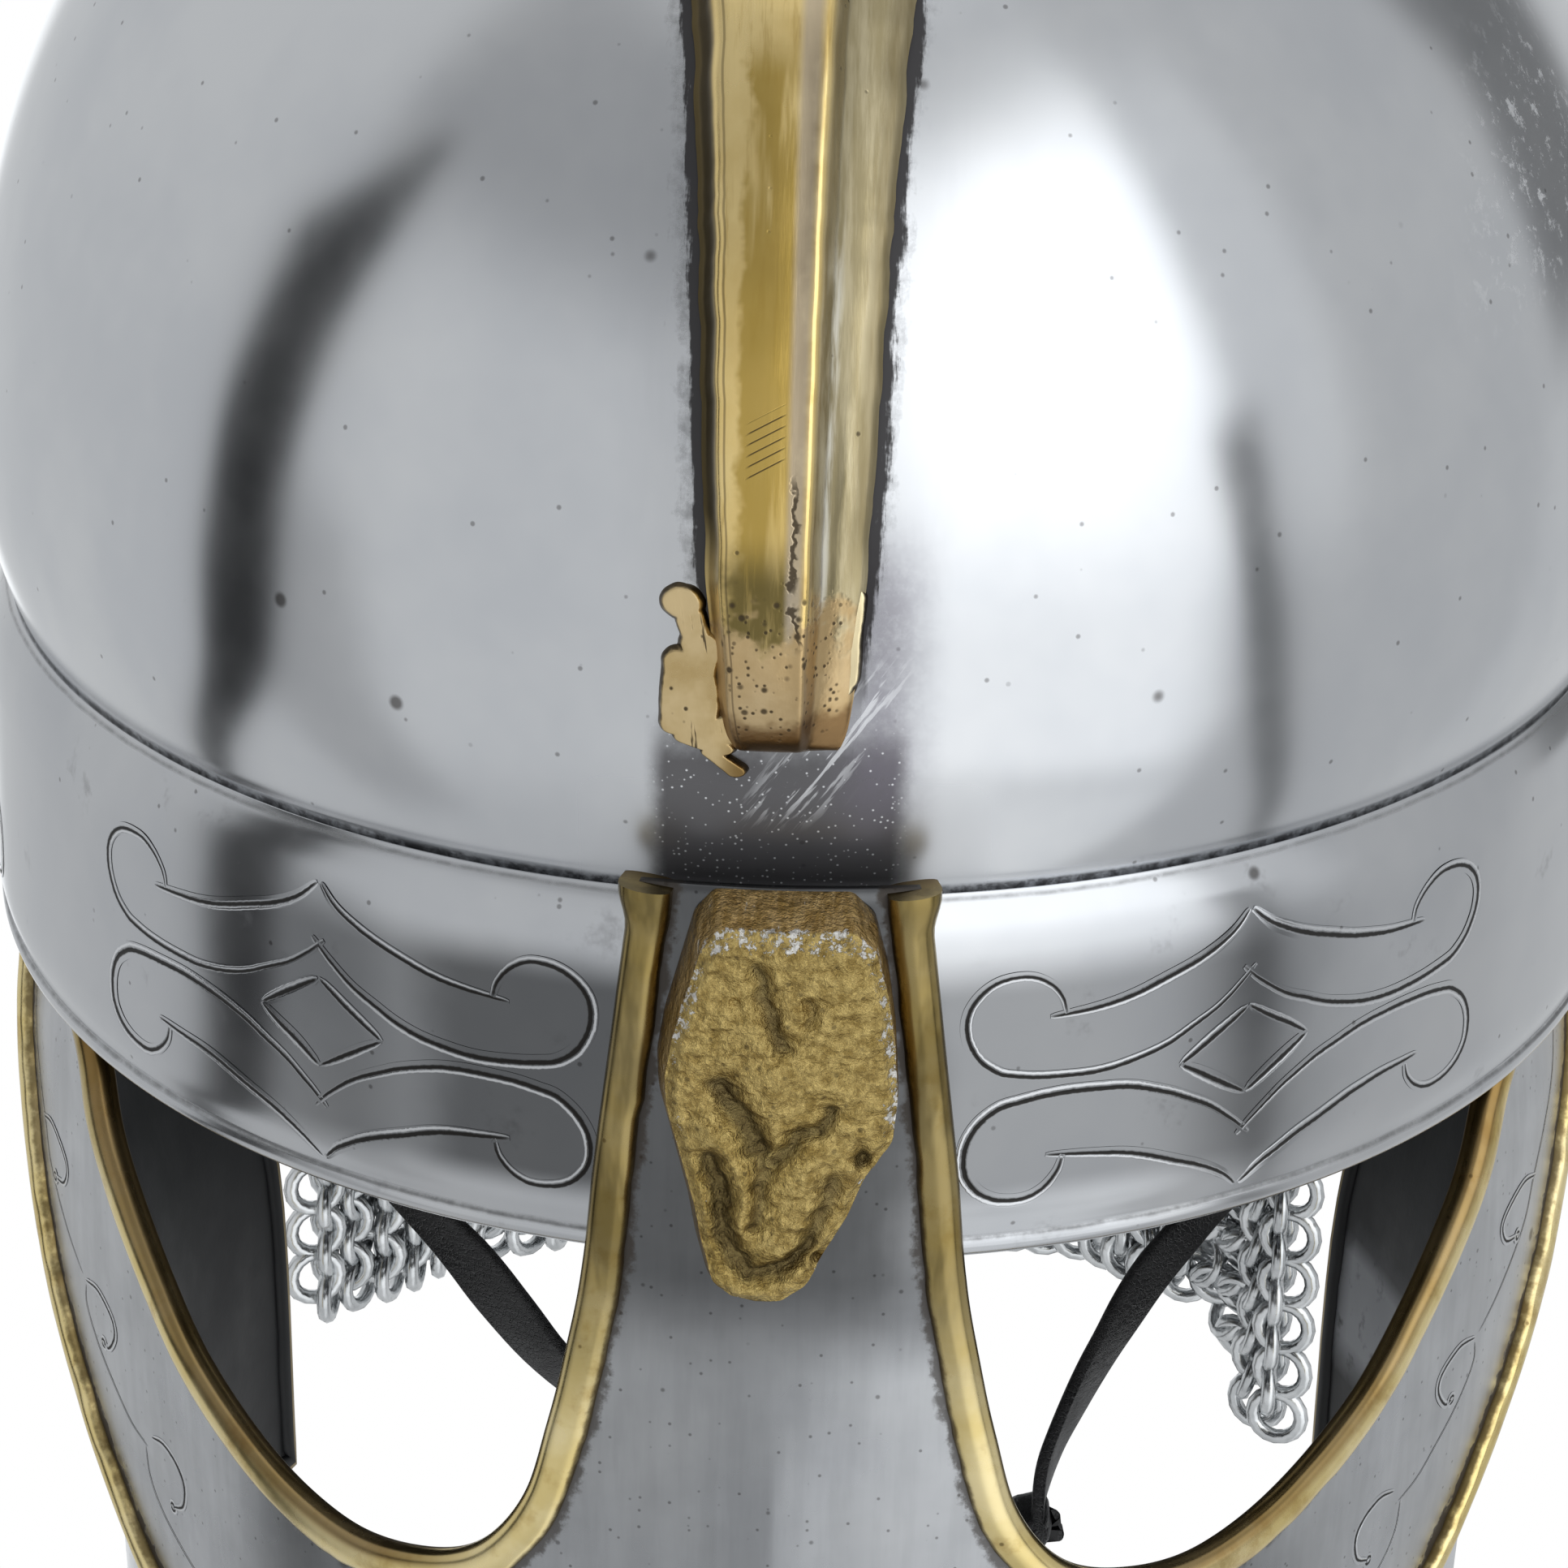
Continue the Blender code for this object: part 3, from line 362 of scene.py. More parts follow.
# Mesh helpers
def link(name, mesh):
    made = bpy.data.objects.new(name, mesh)
    bpy.context.scene.collection.objects.link(made)
    return made


def build(name, points, faces, attributes=None, sharp=38, merge=0.0):
    """A smooth-shaded mesh object from arrays, with float attributes on its points."""
    mesh = bpy.data.meshes.new(name)
    mesh.from_pydata([tuple(p) for p in np.asarray(points, float)], [], [tuple(f) for f in faces])
    for key, values in (attributes or {}).items():
        layer = mesh.attributes.new(key, "FLOAT", "POINT")
        layer.data.foreach_set("value", np.asarray(values, np.float32).ravel())
    work = bmesh.new()
    work.from_mesh(mesh)
    if merge:
        bmesh.ops.remove_doubles(work, verts=work.verts, dist=merge)
    bmesh.ops.recalc_face_normals(work, faces=work.faces)
    work.to_mesh(mesh)
    work.free()
    mesh.shade_smooth()
    mesh.set_sharp_from_angle(angle=math.radians(sharp))
    return link(name, mesh)


def grid_faces(rows, columns, ring=False, first=0):
    """Quads of a grid of points, whose columns close on themselves when it is a ring."""
    row = np.arange(rows - 1)[:, None] * columns
    column = np.arange(columns if ring else columns - 1)[None, :]
    after = (column + 1) % columns
    corners = (row + column, row + after, row + columns + after, row + columns + column)
    return (np.stack(corners, axis=-1).reshape(-1, 4) + first).tolist()


def thicken(made, wall, inner=0):
    """Gives an open surface its thickness inwards, with another material inside where asked."""
    modifier = made.modifiers.new("wall", "SOLIDIFY")
    modifier.thickness = wall
    modifier.offset = -1.0
    modifier.material_offset = inner


def tube_object(name, sections, attributes=None, sharp=38):
    """A closed body from rows of section points, capped at both ends."""
    rows, columns = sections.shape[:2]
    faces = grid_faces(rows, columns, True)
    faces.append(list(range(columns)))
    faces.append(list(range((rows - 1) * columns, rows * columns)))
    return build(name, sections.reshape(-1, 3), faces, attributes, sharp)


def face_outwards(made, centre=(0.0, 0.0, 0.04)):
    """Turns an open surface so that its faces look away from a middle point."""
    middle = Vector(centre)
    total = sum(face.area * face.normal.dot(face.center - middle) for face in made.data.polygons)
    if total < 0:
        made.data.flip_normals()
    return made


def dress(made, materials, nodes=()):
    """Gives a piece its materials, its ride on the root body and the nodes that it stands for."""
    for item in materials:
        made.data.materials.append(item)
    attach(made, "root")
    if nodes:
        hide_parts(*nodes)
    return made


def ribbon(path, surface, width, lift, columns=7):
    """A thin strip along surface places that narrows to its ends, with its attributes."""
    path = np.asarray(path, float)
    spots = surface(path[:, 0], path[:, 1], lift)
    outer = surface(path[:, 0], path[:, 1], lift + 0.001)
    side = unit(np.cross(unit(outer - spots), np.gradient(spots, axis=0)))
    share = np.linspace(0, 1, len(path))
    swell = 0.30 + 0.70 * np.sin(math.pi * np.clip(share, 0, 1)) ** 0.45
    across = np.linspace(-1, 1, columns)
    grid = spots[:, None] + side[:, None] * (width / 2 * across[None, :] * swell[:, None])[..., None]
    shape = (len(path), columns)
    return grid, np.broadcast_to(across, shape), np.broadcast_to(swell[:, None], shape)


def ribbon_object(name, pieces):
    """One object from several ribbons."""
    points, faces, across, weight = [], [], [], []
    start = 0
    for grid, place, swell in pieces:
        rows, columns = grid.shape[:2]
        points.append(grid.reshape(-1, 3))
        across.append(place.ravel())
        weight.append(swell.ravel())
        faces += grid_faces(rows, columns, False, start)
        start += rows * columns
    attributes = {"across": np.concatenate(across), "weight": np.concatenate(weight)}
    return face_outwards(build(name, np.concatenate(points), faces, attributes, 80))


# Material helpers
class Graph:
    """A node tree with short names for the nodes used here."""

    def __init__(self, name, tree=None):
        self.tree = tree
        if tree is None:
            self.material = bpy.data.materials.new(name)
            self.material.use_nodes = True
            self.tree = self.material.node_tree
            self.shader = self.tree.nodes["Principled BSDF"]
            self.place = self.tree.nodes.new("ShaderNodeTexCoord").outputs["Object"]

    def feed(self, socket, value):
        if isinstance(value, bpy.types.NodeSocket):
            self.tree.links.new(value, socket)
        elif isinstance(value, tuple) and socket.type == "RGBA":
            socket.default_value = (*value, 1.0)
        else:
            socket.default_value = value

    def math(self, operation, first, second=0.0):
        node = self.tree.nodes.new("ShaderNodeMath")
        node.operation = operation
        self.feed(node.inputs[0], first)
        self.feed(node.inputs[1], second)
        return node.outputs[0]

    def add(self, *values):
        total = values[0]
        for value in values[1:]:
            total = self.math("ADD", total, value)
        return total

    def sub(self, first, second):
        return self.math("SUBTRACT", first, second)

    def mul(self, *values):
        total = values[0]
        for value in values[1:]:
            total = self.math("MULTIPLY", total, value)
        return total

    def most(self, first, second):
        return self.math("MAXIMUM", first, second)

    def size(self, value):
        return self.math("ABSOLUTE", value)

    def ramp(self, value, low, high, start=0.0, end=1.0):
        """Runs softly from start to end as the value goes from low to high."""
        node = self.tree.nodes.new("ShaderNodeMapRange")
        node.interpolation_type = "SMOOTHSTEP"
        self.feed(node.inputs["Value"], value)
        ends = (low, high, start, end) if low <= high else (high, low, end, start)
        for key, number in zip(("From Min", "From Max", "To Min", "To Max"), ends):
            node.inputs[key].default_value = number
        return node.outputs["Result"]

    def between(self, value, low, high, soft):
        """1 between low and high, with soft ends."""
        rising = self.ramp(value, low - soft, low + soft)
        return self.mul(rising, self.ramp(value, high + soft, high - soft))

    def node(self, kind, **values):
        """A new node with its inputs fed by their names."""
        made = self.tree.nodes.new("ShaderNode" + kind)
        for key, value in values.items():
            self.feed(made.inputs[key], value)
        return made

    def blend(self, share, first, second, kind="FLOAT"):
        node = self.tree.nodes.new("ShaderNodeMix")
        node.data_type = kind
        for key, value in (("Factor", share), ("A", first), ("B", second)):
            self.feed(next(s for s in node.inputs if s.name == key and s.enabled), value)
        return next(s for s in node.outputs if s.enabled)

    def mix(self, share, first, second):
        return self.blend(share, first, second, "RGBA")

    def attribute(self, name):
        node = self.node("Attribute")
        node.attribute_name = name
        return node.outputs["Fac"]

    def split(self, vector=None):
        return self.node("SeparateXYZ", Vector=vector or self.place).outputs

    def stretch(self, scale, turn=None):
        """The place on the piece, turned where asked and then stretched."""
        place = self.place
        if turn:
            place = self.node("Mapping", Vector=place, Rotation=turn).outputs[0]
        return self.node("Mapping", Vector=place, Scale=scale).outputs[0]

    def noise(self, scale, detail=3.0, rough=0.5, vector=None):
        place = vector or self.place
        return self.node("TexNoise", Vector=place, Scale=scale, Detail=detail, Roughness=rough).outputs[0]

    def waver(self, size, *noise):
        """Noise round nought, of this size."""
        return self.mul(self.sub(self.noise(*noise), 0.5), size)

    def drawn(self, detail, rough, scale, turn=None):
        """Noise along a stretched place."""
        return self.noise(1.0, detail, rough, self.stretch(scale, turn))

    def cells(self, scale, vector=None, feature="F1"):
        node = self.node("TexVoronoi", Vector=vector or self.place, Scale=scale)
        node.feature = feature
        return node.outputs

    def dots(self, scale, size, kept):
        """Round specks of about this share of their cells, in this share of the cells."""
        found = self.cells(scale)
        chosen = self.ramp(self.split(found["Color"])[0], 1 - kept, 1 - kept + 0.02)
        return self.mul(self.ramp(found["Distance"], size, size * 0.4), chosen)

    def bump(self, height, strength, distance):
        return self.node("Bump", Height=height, Strength=strength, Distance=distance).outputs[0]

    def finish(self, colour, metallic, rough, normal):
        values = {"Base Color": colour, "Metallic": metallic, "Roughness": rough, "Normal": normal}
        for key, value in values.items():
            self.feed(self.shader.inputs[key], value)
        return self.material


# Materials
GRIME = (0.055, 0.045, 0.038)
BARE_STEEL = ((0.575, 0.590, 0.615), (0.655, 0.665, 0.680))
SEAM_GRIME = 0.0009
# Painted reflection on the brow: how dark the plate is painted in front, further round, and beside the
# nasal, and how light on a rolled edge
FRONT_PAINTED_SHADE = 0.42
SIDE_PAINTED_SHADE = 0.82
NASAL_PAINTED_SHADE = 0.50
EDGE_PAINTED_HIGHLIGHT = 0.86


def steel_layers(g):
    """The plate's own look: tone, brush marks, stray scratches and dark specks."""
    cloud = g.noise(28, 4.0, 0.6)
    tone = g.mix(g.ramp(cloud, 0.3, 0.7), *BARE_STEEL)
    fine = g.drawn(2.0, 0.5, (160, 160, 2600))
    rough = g.ramp(cloud, 0.25, 0.75, 0.145, 0.195)
    dirt = g.most(g.dots(75, 0.085, 0.18), g.mul(g.dots(420, 0.16, 0.12), 0.7))
    scratch = g.cells(1.0, g.stretch((260, 30, 260), (0.5, 0.2, 0.9)))
    chosen = g.ramp(g.split(scratch["Color"])[0], 0.86, 0.9)
    line = g.mul(g.ramp(scratch["Distance"], 0.05, 0.015), chosen)
    height = g.sub(g.mul(fine, 0.35), g.mul(line, 1.2))
    return tone, rough, dirt, height


def painted_brow_reflection(g, rolled):
    """Painted dark reflection over the brow, painted darker beside the nasal, with a painted lighter
    reflection on a rolled edge.
    """
    x, y, z = g.split()
    waver = g.waver(0.010, 60, 3.0)
    aside = g.add(g.size(x), waver)
    front = g.ramp(aside, 0.046, 0.068, FRONT_PAINTED_SHADE, SIDE_PAINTED_SHADE)
    tone = g.blend(g.ramp(y, -0.045, -0.015), front, SIDE_PAINTED_SHADE)
    # painted darker reflection beside the nasal
    near = g.mul(g.between(g.add(x, waver), -0.038, 0.0155, 0.0045), g.ramp(z, -0.009, 0.000))
    near = g.mul(near, g.ramp(y, -0.060, -0.075))
    tone = g.mul(tone, g.blend(near, 1.0, NASAL_PAINTED_SHADE))
    if not rolled:
        return tone
    # painted lighter reflection along the band's rolled top and hem
    level = g.add(z, g.mul(waver, 0.15))
    flat = g.mul(g.ramp(level, 0.0045, 0.0095), g.ramp(level, 0.0375, 0.0315))
    return g.blend(flat, EDGE_PAINTED_HIGHLIGHT, tone)


def scaled(g, colour, share):
    """A colour times a share."""
    return g.mix(share, (0.0, 0.0, 0.0), colour)


HATCH_LEAN = -0.62


def skull_steel():
    """Mirror-polished steel with a painted dark reflection below the comb, and sooted along it."""
    g = Graph("skull steel")
    tone, rough, dirt, height = steel_layers(g)
    x, y, z = g.split()
    patch = g.noise(700, 4.0, 0.7)
    seam = g.ramp(z, BAND_HEIGHT + SEAM_GRIME, BAND_HEIGHT + 0.0002)
    seam = g.mul(seam, g.ramp(patch, 0.66, 0.38, 0.25, 0.85))
    rag = g.add(g.waver(0.0046, 240, 5.0, 0.7), g.mul(g.sub(patch, 0.5), 0.0012))
    streak = g.waver(0.0030, 1.0, 4.0, 0.7, g.stretch((900, 110, 110)))
    gap = g.add(g.most(g.attribute("comb_left"), g.attribute("comb_right")), streak)
    core = g.ramp(g.add(gap, g.mul(rag, 0.4)), 0.0017, 0.0009)
    fuzz = g.mul(g.ramp(g.add(gap, rag), 0.0038, 0.0006), g.ramp(patch, 0.75, 0.30, 0.25, 0.60))
    fuzz = g.mul(fuzz, g.ramp(x, 0.004, -0.004, 0.55, 1.0))
    haze = g.mul(g.ramp(gap, 0.011, 0.002), 0.10)
    soot = g.mul(g.most(g.most(core, fuzz), haze), g.ramp(z, 0.062, 0.074))
    in_front = g.ramp(y, -0.06, -0.08)
    below = g.add(z, g.mul(rag, 1.1))
    # painted dark reflection on the dome below the comb's front end
    painted_dome_reflection = g.between(g.add(x, g.mul(rag, 0.3)), -0.0136, 0.0128, 0.0013)
    painted_dome_reflection = g.mul(painted_dome_reflection, g.ramp(below, 0.0665, 0.0590), in_front)
    # painted purple-grey reflection spreading up beside it towards the wearer's left
    painted_smudge_reflection = g.between(g.add(x, g.mul(rag, 0.6)), 0.0065, 0.0140, 0.0040)
    painted_smudge_reflection = g.mul(painted_smudge_reflection, g.between(z, 0.052, 0.083, 0.006), g.ramp(patch, 0.3, 0.6, 0.7, 1.0))
    painted_smudge_reflection = g.mul(painted_smudge_reflection, in_front, 0.62)
    beside = g.mul(g.between(x, -0.022, 0.022, 0.003), g.ramp(z, 0.060, 0.054), in_front)
    sparks = g.mul(g.dots(1500, 0.26, 0.60), painted_dome_reflection)
    hatch = g.drawn(3.0, 0.6, (1500, 250, 140), (0.0, HATCH_LEAN, 0.0))
    rubbed = g.between(g.add(x, g.mul(z, -0.55)), -0.0335, -0.0255, 0.0025)
    rubbed = g.mul(rubbed, g.between(z, 0.054, 0.070, 0.003))
    rubbed = g.mul(rubbed, g.ramp(hatch, 0.54, 0.62), in_front)
    chalk = g.mul(g.between(x, 0.075, 0.090, 0.006), g.between(z, 0.098, 0.122, 0.008))
    chalk = g.mul(chalk, g.ramp(y, -0.03, -0.045))
    chalk = g.mul(chalk, g.ramp(g.noise(420, 5.0, 0.75), 0.53, 0.66), 0.8)
    colour = g.mix(g.mul(dirt, 0.75), tone, GRIME)
    # the painted dark reflection and its purple-grey smudge
    colour = g.mix(g.mul(painted_dome_reflection, 0.88), colour, (0.058, 0.053, 0.056))
    colour = g.mix(painted_smudge_reflection, colour, (0.16, 0.145, 0.180))
    pale = g.most(g.mul(rubbed, 0.55), g.most(chalk, g.mul(sparks, 0.7)))
    colour = g.mix(pale, colour, (0.92, 0.93, 0.95))
    colour = g.mix(g.mul(g.most(soot, seam), 0.95), colour, (0.020, 0.017, 0.018))
    rough = g.add(rough, g.mul(beside, 0.20), g.mul(soot, 0.35), g.mul(painted_smudge_reflection, 0.08), g.mul(chalk, 0.3))
    height = g.sub(g.mul(height, 0.10), g.mul(g.add(rubbed, core), 0.8))
    metallic = g.sub(1.0, g.add(g.mul(soot, 0.4), g.mul(painted_dome_reflection, 0.40)))
    return g.finish(colour, metallic, rough, g.bump(height, 0.10, 0.00005))


def band_steel():
    """The brow band's satin steel with thin dark lines along its rolled edges, and a painted dark
    reflection over the brow.
    """
    g = Graph("band steel")
    tone, rough, dirt, height = steel_layers(g)
    z = g.split()[2]
    patch = g.noise(600, 4.0, 0.7)
    waver = g.waver(0.0004, 160, 3.0)
    level = g.add(z, waver)
    top = g.between(level, BAND_HEIGHT - 0.00085, BAND_HEIGHT - 0.00045, 0.0002)
    hem = g.between(level, 0.00215, 0.00270, 0.00025)
    line = g.mul(g.most(g.mul(top, 0.6), g.mul(hem, 0.8)), g.ramp(patch, 0.80, 0.30, 0.25, 0.80))
    stain = g.mul(g.ramp(g.noise(90, 5.0, 0.7), 0.60, 0.78), 0.30)
    # the plate's colour times the painted dark reflection over the brow, painted lighter on the rolled
    # edges
    colour = scaled(g, g.mix(g.most(g.mul(dirt, 0.75), stain), tone, GRIME), painted_brow_reflection(g, True))
    colour = g.mix(g.mul(line, 0.9), colour, (0.03, 0.026, 0.022))
    rough = g.add(rough, g.mul(line, 0.3), g.mul(stain, 0.3), 0.03)
    return g.finish(colour, 1.0, rough, g.bump(height, 0.12, 0.00006))


def mask_steel():
    """The mask's duller plate, with brown-black grime beside its bindings and a painted dark reflection
    over the brow and nasal.
    """
    g = Graph("mask steel")
    tone, rough, dirt, height = steel_layers(g)
    patch = g.noise(420, 4.0, 0.7)
    spread = g.ramp(patch, 0.3, 0.7, 0.0, 0.0011)
    eye = g.ramp(g.sub(g.attribute("eye_gap"), spread), EYE_BINDING_LEG + 0.0008, EYE_BINDING_LEG - 0.0002)
    beads = g.mul(g.ramp(g.cells(330)["Distance"], 0.30, 0.55), 0.0006)
    bead_gap = g.sub(g.sub(g.attribute("rim_gap"), spread), beads)
    rim = g.ramp(bead_gap, EDGE_BINDING_LEG + 0.0011, EDGE_BINDING_LEG + 0.0003)
    grime = g.mul(g.most(g.mul(eye, 0.75), rim), 0.9)
    cloud = g.noise(70, 4.0, 0.6)
    # random satin tone times the painted dark reflection over the brow and nasal
    satin_and_painted_reflection = g.mul(g.ramp(cloud, 0.3, 0.7, 0.80, 0.95), painted_brow_reflection(g, False))
    x, _, z = g.split()
    # painted light: the lower nasal is painted lighter, more towards the wearer's left
    lower_painted_light = g.mul(g.ramp(z, -0.005, -0.014), g.ramp(g.size(x), 0.040, 0.030))
    lower_painted_light = g.mul(lower_painted_light, g.ramp(x, -0.004, 0.010, 0.16, 0.29))
    drawn = g.ramp(g.drawn(4.0, 0.6, (420, 420, 45)), 0.35, 0.65, 0.95, 1.03)
    satin_and_painted_reflection = g.mul(g.add(satin_and_painted_reflection, lower_painted_light), drawn)
    specks = g.most(g.mul(dirt, 0.75), g.mul(g.dots(900, 0.24, 0.20), 0.55))
    colour = scaled(g, g.mix(specks, tone, GRIME), satin_and_painted_reflection)
    colour = g.mix(grime, colour, (0.050, 0.038, 0.028))
    rough = g.add(rough, g.mul(grime, 0.35), 0.11)
    return g.finish(colour, 1.0, rough, g.bump(height, 0.12, 0.00006))


def guard_steel():
    """The guards' outer faces, which the mask and the mail leave in the shade."""
    g = Graph("guard steel")
    tone, rough, dirt, height = steel_layers(g)
    stain = g.mul(g.ramp(g.noise(80, 5.0, 0.7), 0.50, 0.75), 0.45)
    colour = g.mix(g.most(g.mul(dirt, 0.75), stain), tone, (0.10, 0.09, 0.085))
    return g.finish(scaled(g, colour, 0.8), 1.0, g.add(rough, 0.08), g.bump(height, 0.12, 0.00006))


def comb_brass():
    """Worn brass: a hammered ridge with green and amber streaks, painted highlights along its top and on
    its edge towards the wearer's left, dull flanks and dark flanges.
    """
    g = Graph("comb brass")
    across, turn = g.attribute("across"), g.attribute("turn")
    x = g.split()[0]
    cloud = g.noise(60, 5.0, 0.62)
    streak = g.drawn(4.0, 0.65, (800, 70, 70))
    broad = g.drawn(3.0, 0.6, (330, 35, 35))
    waver = g.waver(0.006, 120, 4.0, 0.65)
    ridge = g.mix(g.ramp(cloud, 0.35, 0.68), (0.78, 0.575, 0.225), (0.87, 0.68, 0.32))
    ridge = g.mix(g.mul(g.ramp(streak, 0.52, 0.70), 0.55), ridge, (0.50, 0.34, 0.10))
    stripe = g.between(g.add(x, waver), -0.0050, 0.0017, 0.0006)
    amber = g.mul(stripe, g.between(turn, 8.6, 36.0, 1.4), g.ramp(broad, 0.30, 0.50))
    colour = g.mix(g.mul(amber, 0.85), ridge, (0.46, 0.31, 0.065))
    green = g.mul(g.between(g.add(x, waver), -0.0062, 0.0008, 0.0010), g.between(turn, 5.0, 10.5, 1.6))
    colour = g.mix(g.mul(green, g.ramp(streak, 0.30, 0.48, 0.6, 0.95)), colour, (0.155, 0.118, 0.040))
    further = g.mul(g.ramp(turn, 44.0, 52.0), g.ramp(broad, 0.50, 0.66), 0.75)
    colour = g.mix(further, colour, (0.42, 0.30, 0.09))
    # painted highlight along the ridge's top beside the amber stripe
    painted_highlight = g.mul(g.between(across, 0.02, 0.20, 0.05), g.between(turn, 5.0, 48.0, 3.0), 0.7)
    colour = g.mix(painted_highlight, colour, (0.53, 0.455, 0.370))
    flank = g.mix(g.ramp(streak, 0.35, 0.65), (0.40, 0.335, 0.190), (0.56, 0.485, 0.310))
    colour = g.mix(g.ramp(across, 0.26, 0.36), colour, flank)
    # painted whitish highlight on the ridge's edge towards the wearer's left
    pale = g.mul(g.between(across, 0.34, 0.50, 0.05), g.between(turn, 7.0, 26.0, 4.0))
    pale = g.mul(pale, g.ramp(streak, 0.36, 0.6))
    colour = g.mix(pale, colour, (0.95, 0.90, 0.76))
    flange = g.most(g.ramp(across, -0.72, -0.82), g.mul(g.ramp(across, 0.70, 0.86), 0.55))
    colour = g.mix(g.mul(flange, g.ramp(turn, 8.0, 13.0)), colour, (0.125, 0.095, 0.045))
    foot = g.mul(g.ramp(g.add(turn, g.mul(waver, 2200)), 7.2, 5.4), g.ramp(broad, 0.2, 0.4, 0.7, 1.0))
    bronze = g.mix(g.ramp(cloud, 0.35, 0.65), (0.52, 0.370, 0.185), (0.68, 0.520, 0.300))
    colour = g.mix(foot, colour, bronze)
    brown = g.between(g.add(turn, g.mul(waver, 900)), -2.5, 1.4, 0.7)
    colour = g.mix(g.mul(brown, 0.75), colour, (0.17, 0.09, 0.035))
    wander = g.waver(0.75, 150, 4.0, 0.7)
    wander = g.add(wander, g.waver(0.10, 700, 3.0, 0.7))
    crack = g.ramp(g.size(g.sub(g.add(across, wander), 0.12)), 0.050, 0.018)
    crack = g.mul(crack, g.between(turn, 6.0, 14.5, 0.6), g.ramp(g.noise(300, 3.0), 0.38, 0.48))
    edge_line = g.mul(g.ramp(g.size(g.add(across, 0.665)), 0.018, 0.006), 0.6)
    slant = g.add(turn, g.mul(across, -2.6))
    nicks = g.ramp(g.size(g.sub(g.math("PINGPONG", slant, 0.55), 0.275)), 0.06, 0.02)
    nicks = g.mul(nicks, g.between(slant, 15.4, 18.4, 0.05), g.between(across, -0.42, -0.05, 0.04))
    pits = g.mul(g.dots(620, 0.33, 0.75), g.between(turn, 1.5, 9.0, 1.0))
    pits = g.mul(pits, g.between(across, -0.8, 0.35, 0.1))
    small = g.mul(g.dots(1150, 0.34, 0.65), g.between(turn, 0.5, 8.0, 1.0))
    small = g.mul(small, g.between(across, -0.7, 0.8, 0.1))
    pits = g.most(g.most(pits, small), g.mul(g.dots(420, 0.14, 0.16), 0.8))
    scored = g.mul(g.ramp(streak, 0.64, 0.72), g.ramp(across, -0.35, -0.50), g.ramp(turn, 22.0, 8.0))
    dark = g.most(g.most(crack, edge_line), g.most(g.most(nicks, pits), scored))
    colour = g.mix(g.mul(dark, 0.9), colour, (0.055, 0.040, 0.025))
    rough = g.add(g.ramp(cloud, 0.3, 0.7, 0.20, 0.28), g.mul(flange, 0.18), g.mul(foot, 0.10))
    rough = g.add(rough, g.mul(dark, 0.2))
    lumps = g.mul(g.noise(230, 4.0, 0.6), foot, 5.0)
    height = g.sub(g.add(g.mul(streak, 0.9), g.mul(cloud, 1.4), lumps), g.mul(dark, 2.2))
    return g.finish(colour, 1.0, rough, g.bump(height, 0.22, 0.00012))


def braze():
    """The pitted braze round the comb's foot."""
    g = Graph("braze")
    x, _, z = g.split()
    cloud = g.noise(120, 4.0, 0.6)
    left = g.mix(g.ramp(cloud, 0.35, 0.65), (0.50, 0.36, 0.16), (0.66, 0.51, 0.28))
    colour = g.mix(g.ramp(x, 0.0005, 0.0045), left, (0.80, 0.68, 0.42))
    low = g.mul(g.between(x, -0.0060, 0.0035, 0.0015), g.ramp(z, 0.0640, 0.0600))
    colour = g.mix(g.mul(low, 0.8), colour, (0.20, 0.115, 0.035))
    streak = g.drawn(4.0, 0.65, (1000, 100, 100), (0.0, 0.12, 0.0))
    scored = g.mul(g.ramp(streak, 0.60, 0.68), g.ramp(x, -0.0050, -0.0075))
    pits = g.dots(600, 0.20, 0.35)
    edge = g.ramp(g.add(g.attribute("thin"), g.waver(0.25, 900, 3.0)), 0.30, 0.14)
    dark = g.most(g.most(scored, pits), edge)
    colour = g.mix(g.mul(dark, 0.9), colour, (0.045, 0.032, 0.020))
    height = g.sub(g.add(g.mul(cloud, 2.0), g.mul(streak, 0.8)), g.mul(dark, 2.0))
    return g.finish(colour, 1.0, g.ramp(cloud, 0.3, 0.7, 0.24, 0.36), g.bump(height, 0.25, 0.00014))


